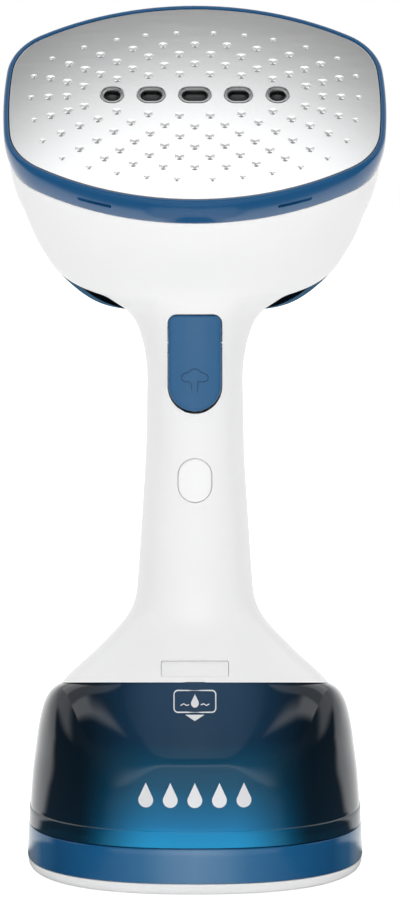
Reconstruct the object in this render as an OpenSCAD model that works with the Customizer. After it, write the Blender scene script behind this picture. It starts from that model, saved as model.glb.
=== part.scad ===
// Handheld garment steamer. Units are millimetres, +Z is up, the front faces -Y.

/* [Node] */
// sub-part to draw

/* [Head] */
// angle of the soleplate's normal above the horizontal
plate_el = 40; // [30:1:55]
// soleplate centre, distance in front of the handle axis
plate_y = 25; // [15:1:35]
// soleplate centre height
plate_z = 251.5; // [220:0.5:280]
// head half-width over the bezel
head_a = 61; // [45:0.5:75]
// head half-height over the bezel, along the plate
head_b = 42; // [30:0.5:55]
// bezel depth
bezel_d = 11; // [8:0.5:16]
// soleplate thickness
plate_t = 2.4; // [1.5:0.1:4]

/* [Shells] */
// wall thickness of the plastic shells
wall = 2.2; // [1.6:0.1:3]

/* [Base] */
// height of the white foot
foot_h = 3.9; // [2:0.1:8]
// height of the base ring's top edge
ring_h = 15.2; // [10:0.2:25]
// slope of the seam between flare and tank, rise per mm towards the front
seam_k = 0.163; // [0:0.001:0.3]

// radius of the tank's sloping front face, across it
face_r = 200; // [120:10:600]

/* [Controls] */
// trigger pivot height
pivot_z = 178; // [170:0.5:190]
// power button centre height
button_z = 129.7; // [110:0.1:150]

/* [Hidden] */
Q = [0, 5.05, 14, 23, 32, 41, 50, 58.8, 68, 79, 90];
NH = 21;
NF = 40;

function rim(p, d) = let(v = p <= 5.05 ? [-98.6 + (160 + d)*cos(p), (160 + d)*sin(p)]
    : p <= 58.8 ? [38.86 + (22 + d)*cos(p), 12.14 + (22 + d)*sin(p)]
    : [(97 + d)*cos(p), -52 + (97 + d)*sin(p)]) [v[0]*head_a/61.4, v[1]*head_b/45];
function se(phi, n) = pow(pow(abs(cos(phi)), n) + pow(abs(sin(phi)), n), -1/n);
// unit half outline, i from +X over the middle to -X
function unit(i, n, m) = let(j = i <= 10 ? i : 20 - i, b = rim(Q[j], 0), x = b[0]/head_a, y = b[1]/head_b,
    phi = atan2(y, x), r = se(phi, n)) [(i <= 10 ? 1 : -1)*(m*x + (1 - m)*r*cos(phi)), m*y + (1 - m)*r*sin(phi)];
// station: [Wy, Wz, Ey, Ez, half-width, exponent, rim share]
function hring(s, t) = let(L = norm([s[2] - s[0], s[3] - s[1]]), g = (L - t)/L, e = [s[0] + (s[2] - s[0])*g, s[1] + (s[3] - s[1])*g])
    [for (i = [0:NH - 1]) let(u = unit(i, s[5], s[6])) [u[0]*(s[4] - t), s[0] + u[1]*(e[0] - s[0]), s[1] + u[1]*(e[1] - s[1])]];
function quad(a, b, c, d, f) = f ? [[a, b, c], [a, c, d]] : [[a, c, b], [a, d, c]];
// closed C-shaped shell between an outer and an inner half skin
module half_shell(st, t, f) {
  K = len(st);
  pts = [for (s = st) each concat(hring(s, 0), hring(s, t))];
  M = 2*NH;
  faces = concat(
    [for (k = [0:K - 2]) for (i = [0:NH - 2]) each quad(k*M + i, (k + 1)*M + i, (k + 1)*M + i + 1, k*M + i + 1, f)],
    [for (k = [0:K - 2]) for (i = [0:NH - 2]) each quad(k*M + NH + i, k*M + NH + i + 1, (k + 1)*M + NH + i + 1, (k + 1)*M + NH + i, f)],
    [for (k = [0:K - 2]) each quad(k*M, k*M + NH, (k + 1)*M + NH, (k + 1)*M, f)],
    [for (k = [0:K - 2]) each quad(k*M + NH - 1, (k + 1)*M + NH - 1, (k + 1)*M + 2*NH - 1, k*M + 2*NH - 1, f)],
    [for (i = [0:NH - 2]) each quad(i, i + 1, NH + i + 1, NH + i, f)],
    [for (i = [0:NH - 2]) let(o = (K - 1)*M) each quad(o + i, o + NH + i, o + NH + i + 1, o + i + 1, f)]);
  polyhedron(pts, faces, convexity = 8);
}
module loft(rings) {
  K = len(rings);
  N = len(rings[0]);
  polyhedron([for (r = rings) each r], concat(
    [for (k = [0:K - 2]) for (i = [0:N - 1]) let(j = (i + 1) % N) each quad(k*N + i, (k + 1)*N + i, (k + 1)*N + j, k*N + j, true)],
    [[for (i = [0:N - 1]) i]], [[for (i = [0:N - 1]) (K - 1)*N + N - 1 - i]]), convexity = 6);
}
// horizontal base section: [z0, slope, half-width, front depth, back depth, exponent]
function yp(z0, k, t) = (-30.3 + 1.23*t - 0.7234*(65.5 - z0))/(1 + 0.7234*k);
function base_ring(s, t, dz = 0) = [for (i = [0:NF - 1]) let(phi = -i*360/NF, r = se(phi, len(s) > 5 ? s[5] : 2.35),
    x = (s[2] - t)*r*cos(phi), y0 = (sin(phi) < 0 ? s[3] - t : s[4] - t)*r*sin(phi), y = max(y0, yp(s[0] + dz, s[1], t) + x*x/(2*face_r)))
    [x, y, s[0] + dz - s[1]*y]];

// front half skin from the bezel to the seam
FS = [[-16.6, 244.4, -43.0, 212.9, 60.1, 2.5, 1], [-12.5, 236.5, -38.6, 207.4, 59.2, 2.45, 0.8], [-8, 228.5, -34.4, 202.6, 57.4, 2.4, 0.5],
  [-4.5, 220, -31.0, 199.2, 55.2, 2.35, 0.2], [-1.5, 212, -28.2, 196.3, 52.8, 2.3, 0], [0.5, 205.5, -26.0, 193.8, 49.7, 2.25, 0],
  [2, 199.2, -24.2, 191.6, 46.2, 2.2, 0], [3, 197.4, -23.6, 190.6, 44.4, 2.2, 0], [3, 194.2, -23.0, 189.2, 40.2, 2.2, 0], [3, 191.8, -22.6, 188.2, 35.3, 2.2, 0],
  [3, 189.9, -22.2, 187.0, 30.3, 2.2, 0], [2.8, 187.3, -21.8, 185.4, 26.7, 2.2, 0], [2.4, 185, -21.5, 183.8, 23.1, 2.2, 0],
  [1.4, 181.1, -20.9, 180.7, 19.8, 2.25, 0], [0.4, 175.8, -20.4, 175.8, 17.7, 2.3, 0], [0, 166, -19.8, 166, 15.9, 2.4, 0],
  [0, 152.8, -19.5, 152.8, 15.9, 2.4, 0], [0, 136, -19.2, 136, 16.3, 2.4, 0], [0, 123, -19.0, 123, 17.1, 2.4, 0], [0, 106.4, -18.9, 106.4, 18.2, 2.4, 0],
  [0, 96.4, -19.0, 96.6, 18.9, 2.4, 0], [0, 89.7, -19.3, 90.2, 19.6, 2.45, 0], [0, 86.4, -19.7, 87.2, 20.6, 2.5, 0], [0, 83.0, -20.3, 84.1, 22.4, 2.6, 0],
  [0, 79.7, -21.2, 81.2, 25.0, 2.8, 0], [0, 76.3, -22.5, 78.4, 28.2, 3.0, 0], [0, 73.0, -24.0, 75.5, 31.5, 3.2, 0], [0, 69.6, -25.9, 72.7, 35.0, 3.4, 0],
  [0, 66.3, -27.6, 70.0, 38.7, 3.6, 0], [0, 62.9, -29.3, 67.2, 42.2, 3.8, 0], [0, 60.7, -30.3, 60.7 + seam_k*30.3, 43.9, 3.9, 0]];
// rear half skin of the handle and flare
RS = [[1.4, 183.9, 18.6, 183.9, 17.9, 2.3, 0], [0.9, 180, 18.5, 180, 17.9, 2.3, 0], [0.4, 175.8, 18.4, 175.8, 17.4, 2.3, 0], [0, 166, 18.0, 166, 15.9, 2.4, 0],
  [0, 152.8, 17.9, 152.8, 15.9, 2.4, 0], [0, 136, 18.0, 136, 16.3, 2.4, 0], [0, 123, 18.2, 123, 17.1, 2.4, 0], [0, 106.4, 18.4, 106.4, 18.2, 2.4, 0],
  [0, 96.4, 18.9, 96.2, 18.9, 2.4, 0], [0, 89.7, 19.8, 89.2, 19.6, 2.4, 0], [0, 86.4, 20.6, 85.6, 20.6, 2.4, 0], [0, 83.0, 22.0, 81.8, 22.4, 2.4, 0],
  [0, 79.7, 24.0, 78.0, 25.0, 2.4, 0], [0, 76.3, 26.6, 74.0, 28.2, 2.4, 0], [0, 73.0, 29.5, 70.0, 31.5, 2.4, 0], [0, 69.6, 32.6, 65.9, 35.0, 2.4, 0],
  [0, 66.3, 36.0, 61.6, 38.7, 2.4, 0], [0, 62.9, 39.4, 57.0, 42.2, 2.4, 0], [0, 60.7, 41.0, 60.7 - seam_k*41, 43.9, 2.4, 0]];
// rear dome of the head
DS = [[-16.4, 244.3, 9.8, 275.8, 60.1, 2.5, 1], [-12.3, 236.6, 17.6, 272.4, 59.2, 2.45, 0.8], [-7.8, 228.6, 26.0, 265.0, 57.5, 2.4, 0.5], [-4.3, 220.1, 32.6, 254.5, 55.4, 2.35, 0.2],
  [-1.3, 212.1, 37.2, 241.5, 53.1, 2.3, 0], [0.8, 206, 39.8, 227.0, 50.6, 2.25, 0], [2.3, 200.2, 40.2, 212.5, 47.6, 2.25, 0], [3.2, 196.2, 38.6, 201.8, 44.6, 2.25, 0],
  [3.2, 192.2, 35.6, 194.4, 40.4, 2.3, 0], [3.2, 188.8, 32.0, 189.6, 36.0, 2.3, 0], [3.2, 186.4, 28.4, 186.6, 31.6, 2.3, 0], [3.0, 185.1, 24.8, 185.1, 27.4, 2.3, 0],
  [2.6, 184.4, 21.4, 184.4, 23.0, 2.3, 0], [2.2, 184.2, 18.8, 184.2, 20.2, 2.3, 0]];
// tank skin, from the seam down
TS = [[60.5, seam_k, 44.3, 38.0, 41.4, 2.8], [59.4, 0.155, 46.4, 39.8, 43.2, 2.8], [57.6, 0.14, 48.2, 41.8, 44.8, 2.75], [54.6, 0.11, 49.9, 43.6, 46.3, 2.7], [51.0, 0.07, 51.0, 45.0, 47.4, 2.65],
  [46.1, 0.03, 52.0, 46.3, 48.2, 2.6], [41, 0, 52.7, 47.1, 48.8, 2.5], [32.6, 0, 53.8, 48.2, 49.5, 2.42], [24, 0, 54.5, 48.9, 49.9, 2.37], [ring_h, 0, 55.0, 49.5, 50.1, 2.35]];
PC = [0, -plate_y, plate_z];

module at_plate() { translate(PC) rotate([90 - plate_el, 0, 0]) children(); }
function rim_loop(d) = [for (q = [0:3]) for (j = [0:9]) let(i = q*10 + j, jj = q % 2 == 0 ? j : 10 - j, p = rim(Q[jj], d))
    [(q == 1 || q == 2) ? -p[0] : p[0], q >= 2 ? -p[1] : p[1]]];
module rim_plate(d, z0, h) { translate([0, 0, z0]) linear_extrude(h) polygon(rim_loop(d)); }
module obround(w, h, t) { linear_extrude(t) union() { square([w - h, h], center = true); for (s = [-1, 1]) translate([s*(w - h)/2, 0]) circle(h/2, $fn = 32); } }
module cyl(r, h, fn = 32) { cylinder(r = r, h = h, $fn = fn); }
module xcyl(r, l) { rotate([0, 90, 0]) cylinder(r = r, h = l, center = true, $fn = 32); }
module ycyl(r, l) { rotate([-90, 0, 0]) cylinder(r = r, h = l, $fn = 32); }
module torus(R, r) { rotate_extrude($fn = 36) translate([R, 0]) circle(r, $fn = 14); }
module bend(R, r, a) { rotate_extrude(angle = a, $fn = 36) translate([R, 0]) circle(r, $fn = 16); }

SLOT_X = [-26.4, -13.9, 0, 13.9, 26.4];
SLOT_W = [7.6, 9.2, 10.6, 9.2, 7.6];
SLOT_Y = 3.0;

// ---------- head ----------
module soleplate() color([0.72, 0.73, 0.75]) at_plate() difference() {
  union() {
    rim_plate(-1.9, -plate_t, plate_t);
    for (x = [-36, 36], y = [-15, 15]) translate([x, y, -7]) cyl(3.4, 7 - plate_t + 0.2);
  }
  for (i = [0:4]) translate([SLOT_X[i], SLOT_Y, -plate_t - 1]) { obround(SLOT_W[i] - 2.7, 4.4, plate_t + 2); translate([0, 0, 1 + plate_t - 1.1]) obround(SLOT_W[i], 7.2, 3); }
  for (x = [-36, 36], y = [-15, 15]) translate([x, y, -7.5]) cyl(1.2, 6.3);
}
module head_bezel() color([0.16, 0.33, 0.52]) difference() {
  at_plate() {
    prof = [[-1.7, 0.1], [-0.5, 0.3], [0, -0.6], [0.1, -3], [-0.9, -bezel_d], [-3.4, -bezel_d], [-3.4, -plate_t - 0.1], [-1.7, -plate_t - 0.1]];
    P = len(prof);
    loops = [for (q = prof) [for (v = rim_loop(q[0])) [v[0], v[1], q[1]]]];
    polyhedron([for (l = loops) each l], [for (k = [0:P - 1]) for (i = [0:NF - 1]) let(k2 = (k + 1) % P, j = (i + 1) % NF)
      each quad(k*NF + i, k2*NF + i, k2*NF + j, k*NF + j, false)], convexity = 6);
  }
  for (s = [-1, 1]) at_plate() translate([s*31.5, -35, -6]) rotate([0, 0, s*14]) cube([9.6, 16, 1.1], center = true);
}
module front_shell() color([0.93, 0.93, 0.92]) union() {
  difference() {
    half_shell(FS, wall, true);
    // trigger opening, longer at the foot because the pressed trigger drops as it turns
    for (d = [0, 0.4]) translate([0, 0, -d]) trig_prof(0.5, -30, 20);
    // power button opening
    hull_oval(5.6, 7.3, -30, 20);
    // release button opening
    at_facet() translate([-11.0, -8, -3.0]) cube([22, 20, 6]);
  }
  // trigger pin bosses, standing in from the side walls
  for (s = [-1, 1]) difference() {
    translate([s*10.4 - 1.5, -15.5, pivot_z - 3.5]) cube([3, 8.5, 7]);
    translate([s*10.4, -13, pivot_z]) xcyl(1.5, 8);
  }
  // screw bosses
  for (z = [106.5, 171]) for (s = [-1, 1]) difference() {
    union() { translate([s*10.2, -4, z]) ycyl(3.0, 9.8); translate([s*12.5, -2, z]) cube([z > 150 ? 4.4 : 8.4, 3.6, 2.4], center = true); }
    translate([s*10.2, -2, z]) ycyl(1.0, 10);
  }
  // board posts
  for (z = [116, 145]) for (s = [-1, 1]) translate([s*8.5, -15.6, z]) difference() { ycyl(1.9, 7.5); translate([0, 2, 0]) ycyl(0.8, 8); }
}
// frame on the sloping front facet, +Y local points inwards, +Z up the slope
module at_facet() { translate([0, -27.5, 69.4]) rotate([-35.9, 0, 0]) children(); }
module hull_oval(rx, rz, y0, l) {
  translate([0, y0, button_z]) rotate([-90, 0, 0]) union() {
    for (s = [-1, 1]) translate([0, s*(rz - rx), 0]) cylinder(r = rx, h = l, $fn = 40);
    translate([-rx, -(rz - rx), 0]) cube([2*rx, 2*(rz - rx), l]);
  }
}
module rear_shell() color([0.92, 0.92, 0.91]) difference() {
  union() {
    half_shell(RS, wall, false);
    for (z = [106.5, 171]) for (s = [-1, 1]) translate([s*10.2, 6, z]) ycyl(3.0, 6.6);
    translate([0, 24.5, 73.8]) rotate([-48, 0, 0]) translate([0, 0, -4.5]) cyl(7.6, 7);
  }
  for (z = [106.5, 171]) for (s = [-1, 1]) translate([s*10.2, 5, z]) { ycyl(1.25, 18); translate([0, 4.6, 0]) ycyl(2.3, 14); }
  translate([0, 24.5, 73.8]) rotate([-48, 0, 0]) translate([0, 0, -9]) cyl(5.4, 24);
}
module head_rear_cover() color([0.10, 0.20, 0.34]) half_shell(DS, wall, false);

// ---------- trigger ----------
module trig_prof(c, y0, l) {
  translate([0, y0, 0]) rotate([-90, 0, 0]) union() {
    translate([0, -160.65, 0]) cylinder(r = 8.35 + c, h = l, $fn = 48);
    translate([-8.35 - c, -180.6, 0]) cube([16.7 + 2*c, 20, l]);
    translate([-5.75, -183.2 - c, 0]) cube([11.5, 20, l]);
    for (s = [-1, 1]) translate([s*5.75, -180.6, 0]) cylinder(r = 2.6 + c, h = l, $fn = 32);
  }
}
module steam_trigger() color([0.17, 0.35, 0.54]) difference() {
  union() {
    trig_prof(0, -21.4, 5);
    translate([-5.4, -17.5, pivot_z - 3]) cube([10.8, 6.6, 5.6]);
    translate([-3, -17, 157]) cube([6, 5.6, 6]);
  }
  translate([0, -13, pivot_z]) xcyl(1.56, 30);
}
module trigger_pin() color([0.75, 0.76, 0.78]) translate([0, -13, pivot_z]) xcyl(1.5, 20.4);
module trigger_spring() color([0.6, 0.61, 0.63]) union() {
  for (x = [6.3, 7.3, 8.2]) translate([x, -13, pivot_z]) rotate([0, 90, 0]) torus(2.1, 0.45);
  translate([8.2, -10.9, pivot_z - 9]) cyl(0.42, 9, 16);
  translate([6.3, -15.0, pivot_z - 8]) cyl(0.42, 8, 16);
}
module microswitch() color([0.12, 0.12, 0.13]) difference() {
  translate([-3.2, -8.4, 153]) cube([6.4, 6.5, 19.5]);
  translate([0, -9, 160]) ycyl(1.15, 4.5);
  for (z = [157, 169]) translate([0, -4, z]) xcyl(0.9, 10);
}
module microswitch_plunger() color([0.75, 0.1, 0.1]) translate([0, -11.1, 160]) ycyl(1.1, 4.3);

// ---------- power button and electronics ----------
module power_button() color([0.95, 0.95, 0.95]) union() {
  intersection() { hull_oval(5.3, 7.0, -19.4, 3.6); translate([-8, -19.4, 110]) cube([16, 3.4, 40]); }
  hull_oval(3.0, 4.4, -16.2, 2.2);
  translate([0, -14.2, button_z]) ycyl(1.5, 3.0);
}
module tact_switch() color([0.15, 0.15, 0.16]) union() {
  translate([-3, -8.5, button_z - 3]) translate([0, -1, 0]) cube([6, 1.5, 6]);
  translate([0, -10.1, button_z]) ycyl(1.6, 0.7);
}
module control_board() color([0.1, 0.35, 0.2]) difference() {
  union() {
    translate([-11, -8, 111]) cube([22, 1.6, 39]);
    translate([-8, -6.4, 118]) cube([9, 5, 8]);
    translate([3, -6.4, 120]) ycyl(2.8, 6);
    translate([-6, -6.4, 134]) cube([12, 3, 9]);
  }
  for (z = [116, 145]) for (s = [-1, 1]) translate([s*8.5, -9, z]) ycyl(1.2, 4);
}
module board_led() color([0.8, 0.9, 1]) union() { translate([6.2, -9.6, button_z + 6]) ycyl(0.9, 1.6); translate([6.2, -9.4, button_z - 6.5]) ycyl(0.9, 1.4); }
module board_screws() color([0.7, 0.7, 0.72]) for (z = [116, 145]) for (s = [-1, 1]) translate([s*8.5, 0, z]) { translate([0, -6.4, 0]) ycyl(1.7, 1.2); translate([0, -12, 0]) ycyl(0.8, 5.7); }

// ---------- steam chamber ----------
module chamber_outline(d) { polygon([for (v = rim_loop(d)) v]); }
module steam_chamber() color([0.66, 0.67, 0.69]) at_plate() difference() {
  union() { translate([0, 0, -15]) linear_extrude(12.4) chamber_outline(-12); }
  translate([0, 0, -15.5]) linear_extrude(8.2) difference() {
    chamber_outline(-15);
    for (x = [-36, 36], y = [-15, 15]) translate([x, y]) circle(5, $fn = 32);
    translate([-2, -6]) square([4, 40]);
    for (x = [-20, 20]) translate([x - 1.5, -40]) square([3, 50]);
  }
  for (i = [0:4]) translate([SLOT_X[i], SLOT_Y, -8]) obround(SLOT_W[i] - 2.7, 4.4, 6);
  for (x = [-36, 36], y = [-15, 15]) translate([x, y, -15.5]) { cyl(1.6, 13); translate([0, 0, 8.5]) cyl(3.5, 6); }
}
module chamber_gasket() color([0.55, 0.12, 0.1]) at_plate() translate([0, 0, -16]) linear_extrude(1) difference() { chamber_outline(-12.2); chamber_outline(-14.8); }
module chamber_cover() color([0.6, 0.61, 0.63]) at_plate() difference() {
  union() { translate([0, 0, -18]) linear_extrude(2) chamber_outline(-12); translate([0, -18, -22]) cyl(4.2, 4.5); }
  for (x = [-36, 36], y = [-15, 15]) translate([x, y, -19]) cyl(1.6, 4);
  translate([0, -18, -23]) cyl(2.4, 8);
}
module chamber_screws() color([0.75, 0.75, 0.77]) at_plate() for (x = [-36, 36], y = [-15, 15]) translate([x, y, 0]) { translate([0, 0, -20.4]) cyl(2.9, 2.4); translate([0, 0, -18]) cyl(1.2, 16.6); }
module heating_element() color([0.35, 0.34, 0.33]) at_plate() translate([0, 2, -21.3]) union() {
  for (s = [-1, 1]) translate([s*24, 0, 0]) rotate([90, 0, 0]) cylinder(r = 3.2, h = 14, $fn = 24);
  translate([0, 0, 0]) { translate([-14, 10, 0]) rotate([0, 90, 0]) cylinder(r = 3.2, h = 28, $fn = 24);
    for (s = [-1, 1]) translate([s*14, 0, 0]) scale([s, 1, 1]) bend(10, 3.2, 90); }
  for (s = [-1, 1]) translate([s*24, -14, 0]) rotate([90, 0, 0]) cylinder(r = 1.1, h = 5, $fn = 16);
}
module heat_shield() color([0.2, 0.2, 0.21]) at_plate() difference() {
  translate([0, 0, -14]) linear_extrude(10.6) difference() { polygon(rim_loop(-6.2)); polygon(rim_loop(-7.6)); }
  translate([-5, -60, -9]) cube([10, 30, 2]);
}
module thermostat() color([0.85, 0.83, 0.78]) at_plate() translate([0, -2, -24.3]) union() { cyl(7.4, 6.3); translate([0, 0, -4]) cyl(5.2, 4.2); for (s = [-1, 1]) translate([s*3.4 - 0.4, -1.6, -9]) cube([0.8, 3.2, 5.2]); }
module thermal_fuse() color([0.8, 0.8, 0.78]) at_plate() union() { translate([30, -6, -20.0]) rotate([90, 0, 0]) cylinder(r = 2, h = 11, center = true, $fn = 24); for (s = [-1, 1]) translate([30, -6 + s*8, -20.0]) rotate([90, 0, 0]) cylinder(r = 0.5, h = 6, center = true, $fn = 16); }

// ---------- water path ----------
module steam_inlet() color([0.75, 0.6, 0.3]) at_plate() translate([0, -18, 0]) difference() { union() { translate([0, 0, -27]) cyl(2.35, 9.5); translate([0, 0, -24]) cyl(4, 2); } translate([0, 0, -28]) cyl(1.2, 12); }
module tube_run(a, b, r) { v = b - a; L = norm(v); translate(a) rotate([0, acos(v[2]/L), atan2(v[1], v[0])]) cylinder(r = r, h = L, $fn = 24); }
HOSE_T = [0, 4.4, 206.5];
INL = PC + [0, -18*sin(plate_el) + 27.5*cos(plate_el), -18*cos(plate_el) - 27.5*sin(plate_el)];
module delivery_hose() color([0.85, 0.86, 0.84]) union() {
  tube_run([0, 8, 106.2], [0, 8, 150], 2.4);
  tube_run([0, 8, 168], [0, 8, 205], 2.4);
  translate([0, 8, 205]) sphere(2.4, $fn = 24);
  tube_run([0, 8, 205], INL, 2.4);
}
module check_valve() color([0.9, 0.9, 0.88]) translate([0, 8, 150]) union() { cyl(3.2, 4); translate([0, 0, 4]) cyl(4.6, 10); translate([0, 0, 14]) cyl(3.2, 4); }
module pump_body() color([0.2, 0.2, 0.22]) translate([0, 1, 0]) union() {
  translate([0, 0, 78]) cyl(6.4, 24);
  translate([0, 0, 74.5]) cyl(3.0, 4);
  translate([0, 7, 99]) cyl(3.2, 3);
  translate([-4, 0, 99]) cube([8, 7, 3]);
}
module pump_coil() color([0.65, 0.35, 0.15]) translate([0, 1, 81]) difference() { union() { cyl(11.4, 16, 40); } translate([0, 0, -1]) cyl(6.5, 20, 40); }
module pump_mounts() color([0.1, 0.1, 0.1]) translate([0, 1, 0]) for (z = [78.2, 98.2]) translate([0, 0, z]) difference() { cyl(9.2, 2.4, 40); translate([0, 0, -1]) cyl(6.5, 6, 40); if (z > 90) translate([-4.5, 0, 0.7]) cube([9, 12, 4]); }
module pump_outlet() color([0.85, 0.85, 0.82]) translate([0, 8, 102]) difference() { cyl(3.0, 4.1); translate([0, 0, 1]) cyl(1.3, 5); }
module suction_hose() color([0.85, 0.86, 0.84]) translate([0, 1, 70.2]) difference() { cyl(3.6, 7.7); translate([0, 0, -1]) cyl(2.2, 4); translate([0, 0, 3.0]) cyl(3.05, 6); }
module tank_coupling() color([0.25, 0.25, 0.27]) translate([0, 1, 0]) difference() {
  union() { translate([0, 0, 62.4]) cyl(9.2, 7.6, 40); translate([0, 0, 69.8]) cyl(2.15, 2.6); translate([0, 0, 68.8]) cube([64, 8, 2.4], center = true); }
  translate([0, 0, 61]) cyl(6.9, 6.6, 40);
  translate([0, 0, 66]) cyl(1.2, 10);
}
module coupling_seal() color([0.08, 0.08, 0.08]) translate([0, 1, 64.6]) rotate_extrude($fn = 36) translate([6.0, 0]) circle(0.88, $fn = 16);

// ---------- tank and base ----------
module tank_skin(t) { loft([for (s = TS) base_ring(s, t)]); }
module water_tank() color([0.04, 0.12, 0.24, 0.55]) difference() {
  union() {
    tank_skin(0);
    translate([0, 1, 58]) cyl(5.0, 8.6, 40);
    translate([-4, -22.0, 61.5]) cube([8, 2.4, 9.3]);
    translate([-4, -20.0, 69.0]) cube([8, 1.7, 1.8]);
    translate([0, 45, 34]) ycyl(11, 5.4);
    for (s = [-1, 1]) translate([s*5.6, 0, 0]) { translate([0, 52.2, 21.2]) xcyl(1.6, 2.2); translate([-1.1, 48, 19.6]) cube([2.2, 4.2, 3.2]); }
  }
  loft([for (j = [0:len(TS) - 1]) let(s = TS[j]) j == 0 ? base_ring([s[0], s[1], s[2] - 2.4, s[3] - 2.2, s[4] - 2.2, s[5]], 2.2, -2.4) : base_ring(s, 2.4, j == len(TS) - 1 ? 2.2 : (j == 1 ? -2.0 : (j == 2 ? -1.2 : 0)))]);
  translate([0, 1, 50]) cyl(3.4, 20, 40);
  translate([0, 30, 34]) ycyl(8.2, 30);
  translate([0, 52.2, 21.2]) xcyl(0.8, 20);
}
module tank_base_ring() color([0.16, 0.33, 0.52]) difference() {
  loft([base_ring([ring_h - 0.05, 0, 55.3, 49.8, 50.3], 0), base_ring([foot_h, 0, 55.7, 50.0, 50.5], 0)]);
  loft([base_ring([ring_h + 1, 0, 53.0, 47.5, 48.0], 0), base_ring([foot_h - 1, 0, 53.2, 47.6, 48.1], 0)]);
}
module base_foot() color([0.9, 0.9, 0.9]) difference() {
  union() {
    loft([base_ring([foot_h, 0, 55.5, 49.8, 50.3], 0), base_ring([1.6, 0, 55.2, 49.5, 50], 0), base_ring([0.5, 0, 54.0, 48.4, 48.9], 0), base_ring([0, 0, 52.6, 47.2, 47.6], 0)]);
    translate([0, 0, foot_h - 0.1]) cyl(40, 11.2, 48);
  }
  translate([0, 0, foot_h + 1]) cyl(37.5, 20, 48);
  for (a = [45:90:315]) rotate([0, 0, a]) translate([40, 0, -1]) cyl(5, 2.2);
}
module rubber_feet() color([0.1, 0.1, 0.1]) for (a = [45:90:315]) rotate([0, 0, a]) translate([40, 0, 0]) cyl(4.95, 1.2);
module tank_neck_strainer() color([0.85, 0.85, 0.83]) translate([0, 1, 0]) union() { translate([0, 0, 59]) cyl(3.3, 4.8); translate([0, 0, 63.5]) cyl(1.0, 2.2, 24); translate([0, 0, 56]) cyl(2.2, 3.2, 24); }
module tank_pickup_tube() color([0.8, 0.82, 0.82]) translate([0, 1, 0]) union() { translate([0, 0, 20]) cyl(1.8, 36, 24); translate([0, 0, 18.2]) cyl(3.4, 2.6); }
module filler_cap() color([0.16, 0.33, 0.52]) difference() {
  union() {
    translate([0, 47.2, 34]) ycyl(6.9, 4.2);
    translate([0, 51.0, 34]) ycyl(10.4, 1.9);
    translate([-3.6, 51.0, 21.2]) cube([7.2, 1.9, 7]);
    translate([0, 52.2, 21.2]) xcyl(1.6, 8.4);
    translate([-4, 51.9, 43]) cube([8, 1.0, 2.6]);
  }
  translate([0, 52.2, 21.2]) xcyl(0.86, 12);
  translate([0, 46, 34]) ycyl(5.2, 4);
}
module cap_pin() color([0.75, 0.76, 0.78]) translate([0, 52.2, 21.2]) xcyl(0.8, 13.2);
module filler_seal() color([0.1, 0.1, 0.1]) translate([0, 50.4, 34]) difference() { ycyl(10.0, 0.55); translate([0, -1, 0]) ycyl(8.4, 5); }

// ---------- latch ----------
module release_button() color([0.9, 0.9, 0.9]) union() {
  at_facet() translate([-10.6, -0.1, -2.6]) cube([21.2, 2.6, 5.2]);
  for (s = [-1, 1]) translate([s*6.4, -21.4, 67.7]) cube([1.8, 9.2, 2.0], center = true);
  translate([0, -17.0, 67.7]) cube([14.6, 1.6, 2.0], center = true);
}
module release_spring() color([0.6, 0.61, 0.63]) for (s = [-1, 1]) at_facet() for (i = [0:3]) translate([s*9.2, 2.85 + i*0.85, 0.9]) rotate([90, 0, 0]) torus(1.3, 0.35);

// ---------- cord inlet ----------
module cord_gland() color([0.12, 0.12, 0.13]) translate([0, 24.5, 73.8]) rotate([-48, 0, 0]) difference() {
  union() { translate([0, 0, -6]) cyl(5.35, 13); translate([0, 0, 3.8]) cyl(7.0, 1.8); translate([0, 0, 7]) cylinder(r1 = 5.35, r2 = 4.6, h = 4, $fn = 32); }
  translate([0, 0, -7]) cyl(3.2, 20);
}
module cord_clamp() color([0.85, 0.85, 0.83]) difference() { translate([-9, 10.8, 71.5]) cube([18, 4.6, 4]); translate([0, 13.1, 70]) cyl(1.7, 12); for (s = [-1, 1]) translate([s*6.3, 10, 73.5]) ycyl(1.1, 8); }
module terminal_block() color([0.9, 0.9, 0.88]) difference() { translate([-8, 9.2, 114]) cube([16, 4.5, 9]); for (x = [-5.6, 5.6]) translate([x, 8.5, 118.5]) ycyl(1.4, 3); translate([0, 8, 100]) cyl(3.2, 30); }
module shell_screws() color([0.72, 0.72, 0.74]) for (z = [106.5, 171]) for (s = [-1, 1]) translate([s*10.2, 0, z]) { translate([0, 9.6, 0]) difference() { ycyl(2.15, 1.6); translate([-0.35, 0.8, -1.6]) cube([0.7, 2, 3.2]); translate([-1.6, 0.8, -0.35]) cube([3.2, 2, 0.7]); } translate([0, -1.5, 0]) ycyl(1.0, 11.2); }

soleplate();
head_bezel();
front_shell();
rear_shell();
head_rear_cover();
steam_trigger();
trigger_pin();
trigger_spring();
microswitch();
microswitch_plunger();
power_button();
tact_switch();
control_board();
board_led();
steam_chamber();
chamber_gasket();
chamber_cover();
heating_element();
heat_shield();
thermostat();
thermal_fuse();
steam_inlet();
delivery_hose();
check_valve();
pump_body();
pump_coil();
pump_mounts();
pump_outlet();
suction_hose();
tank_coupling();
coupling_seal();
water_tank();
tank_base_ring();
base_foot();
rubber_feet();
tank_neck_strainer();
tank_pickup_tube();
filler_cap();
cap_pin();
filler_seal();
release_button();
release_spring();
cord_gland();
cord_clamp();
terminal_block();
shell_screws();
chamber_screws();
board_screws();
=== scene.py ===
import bpy, bmesh, math
import numpy as np
from mathutils import Vector, Matrix
from mathutils.bvhtree import BVHTree


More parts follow.
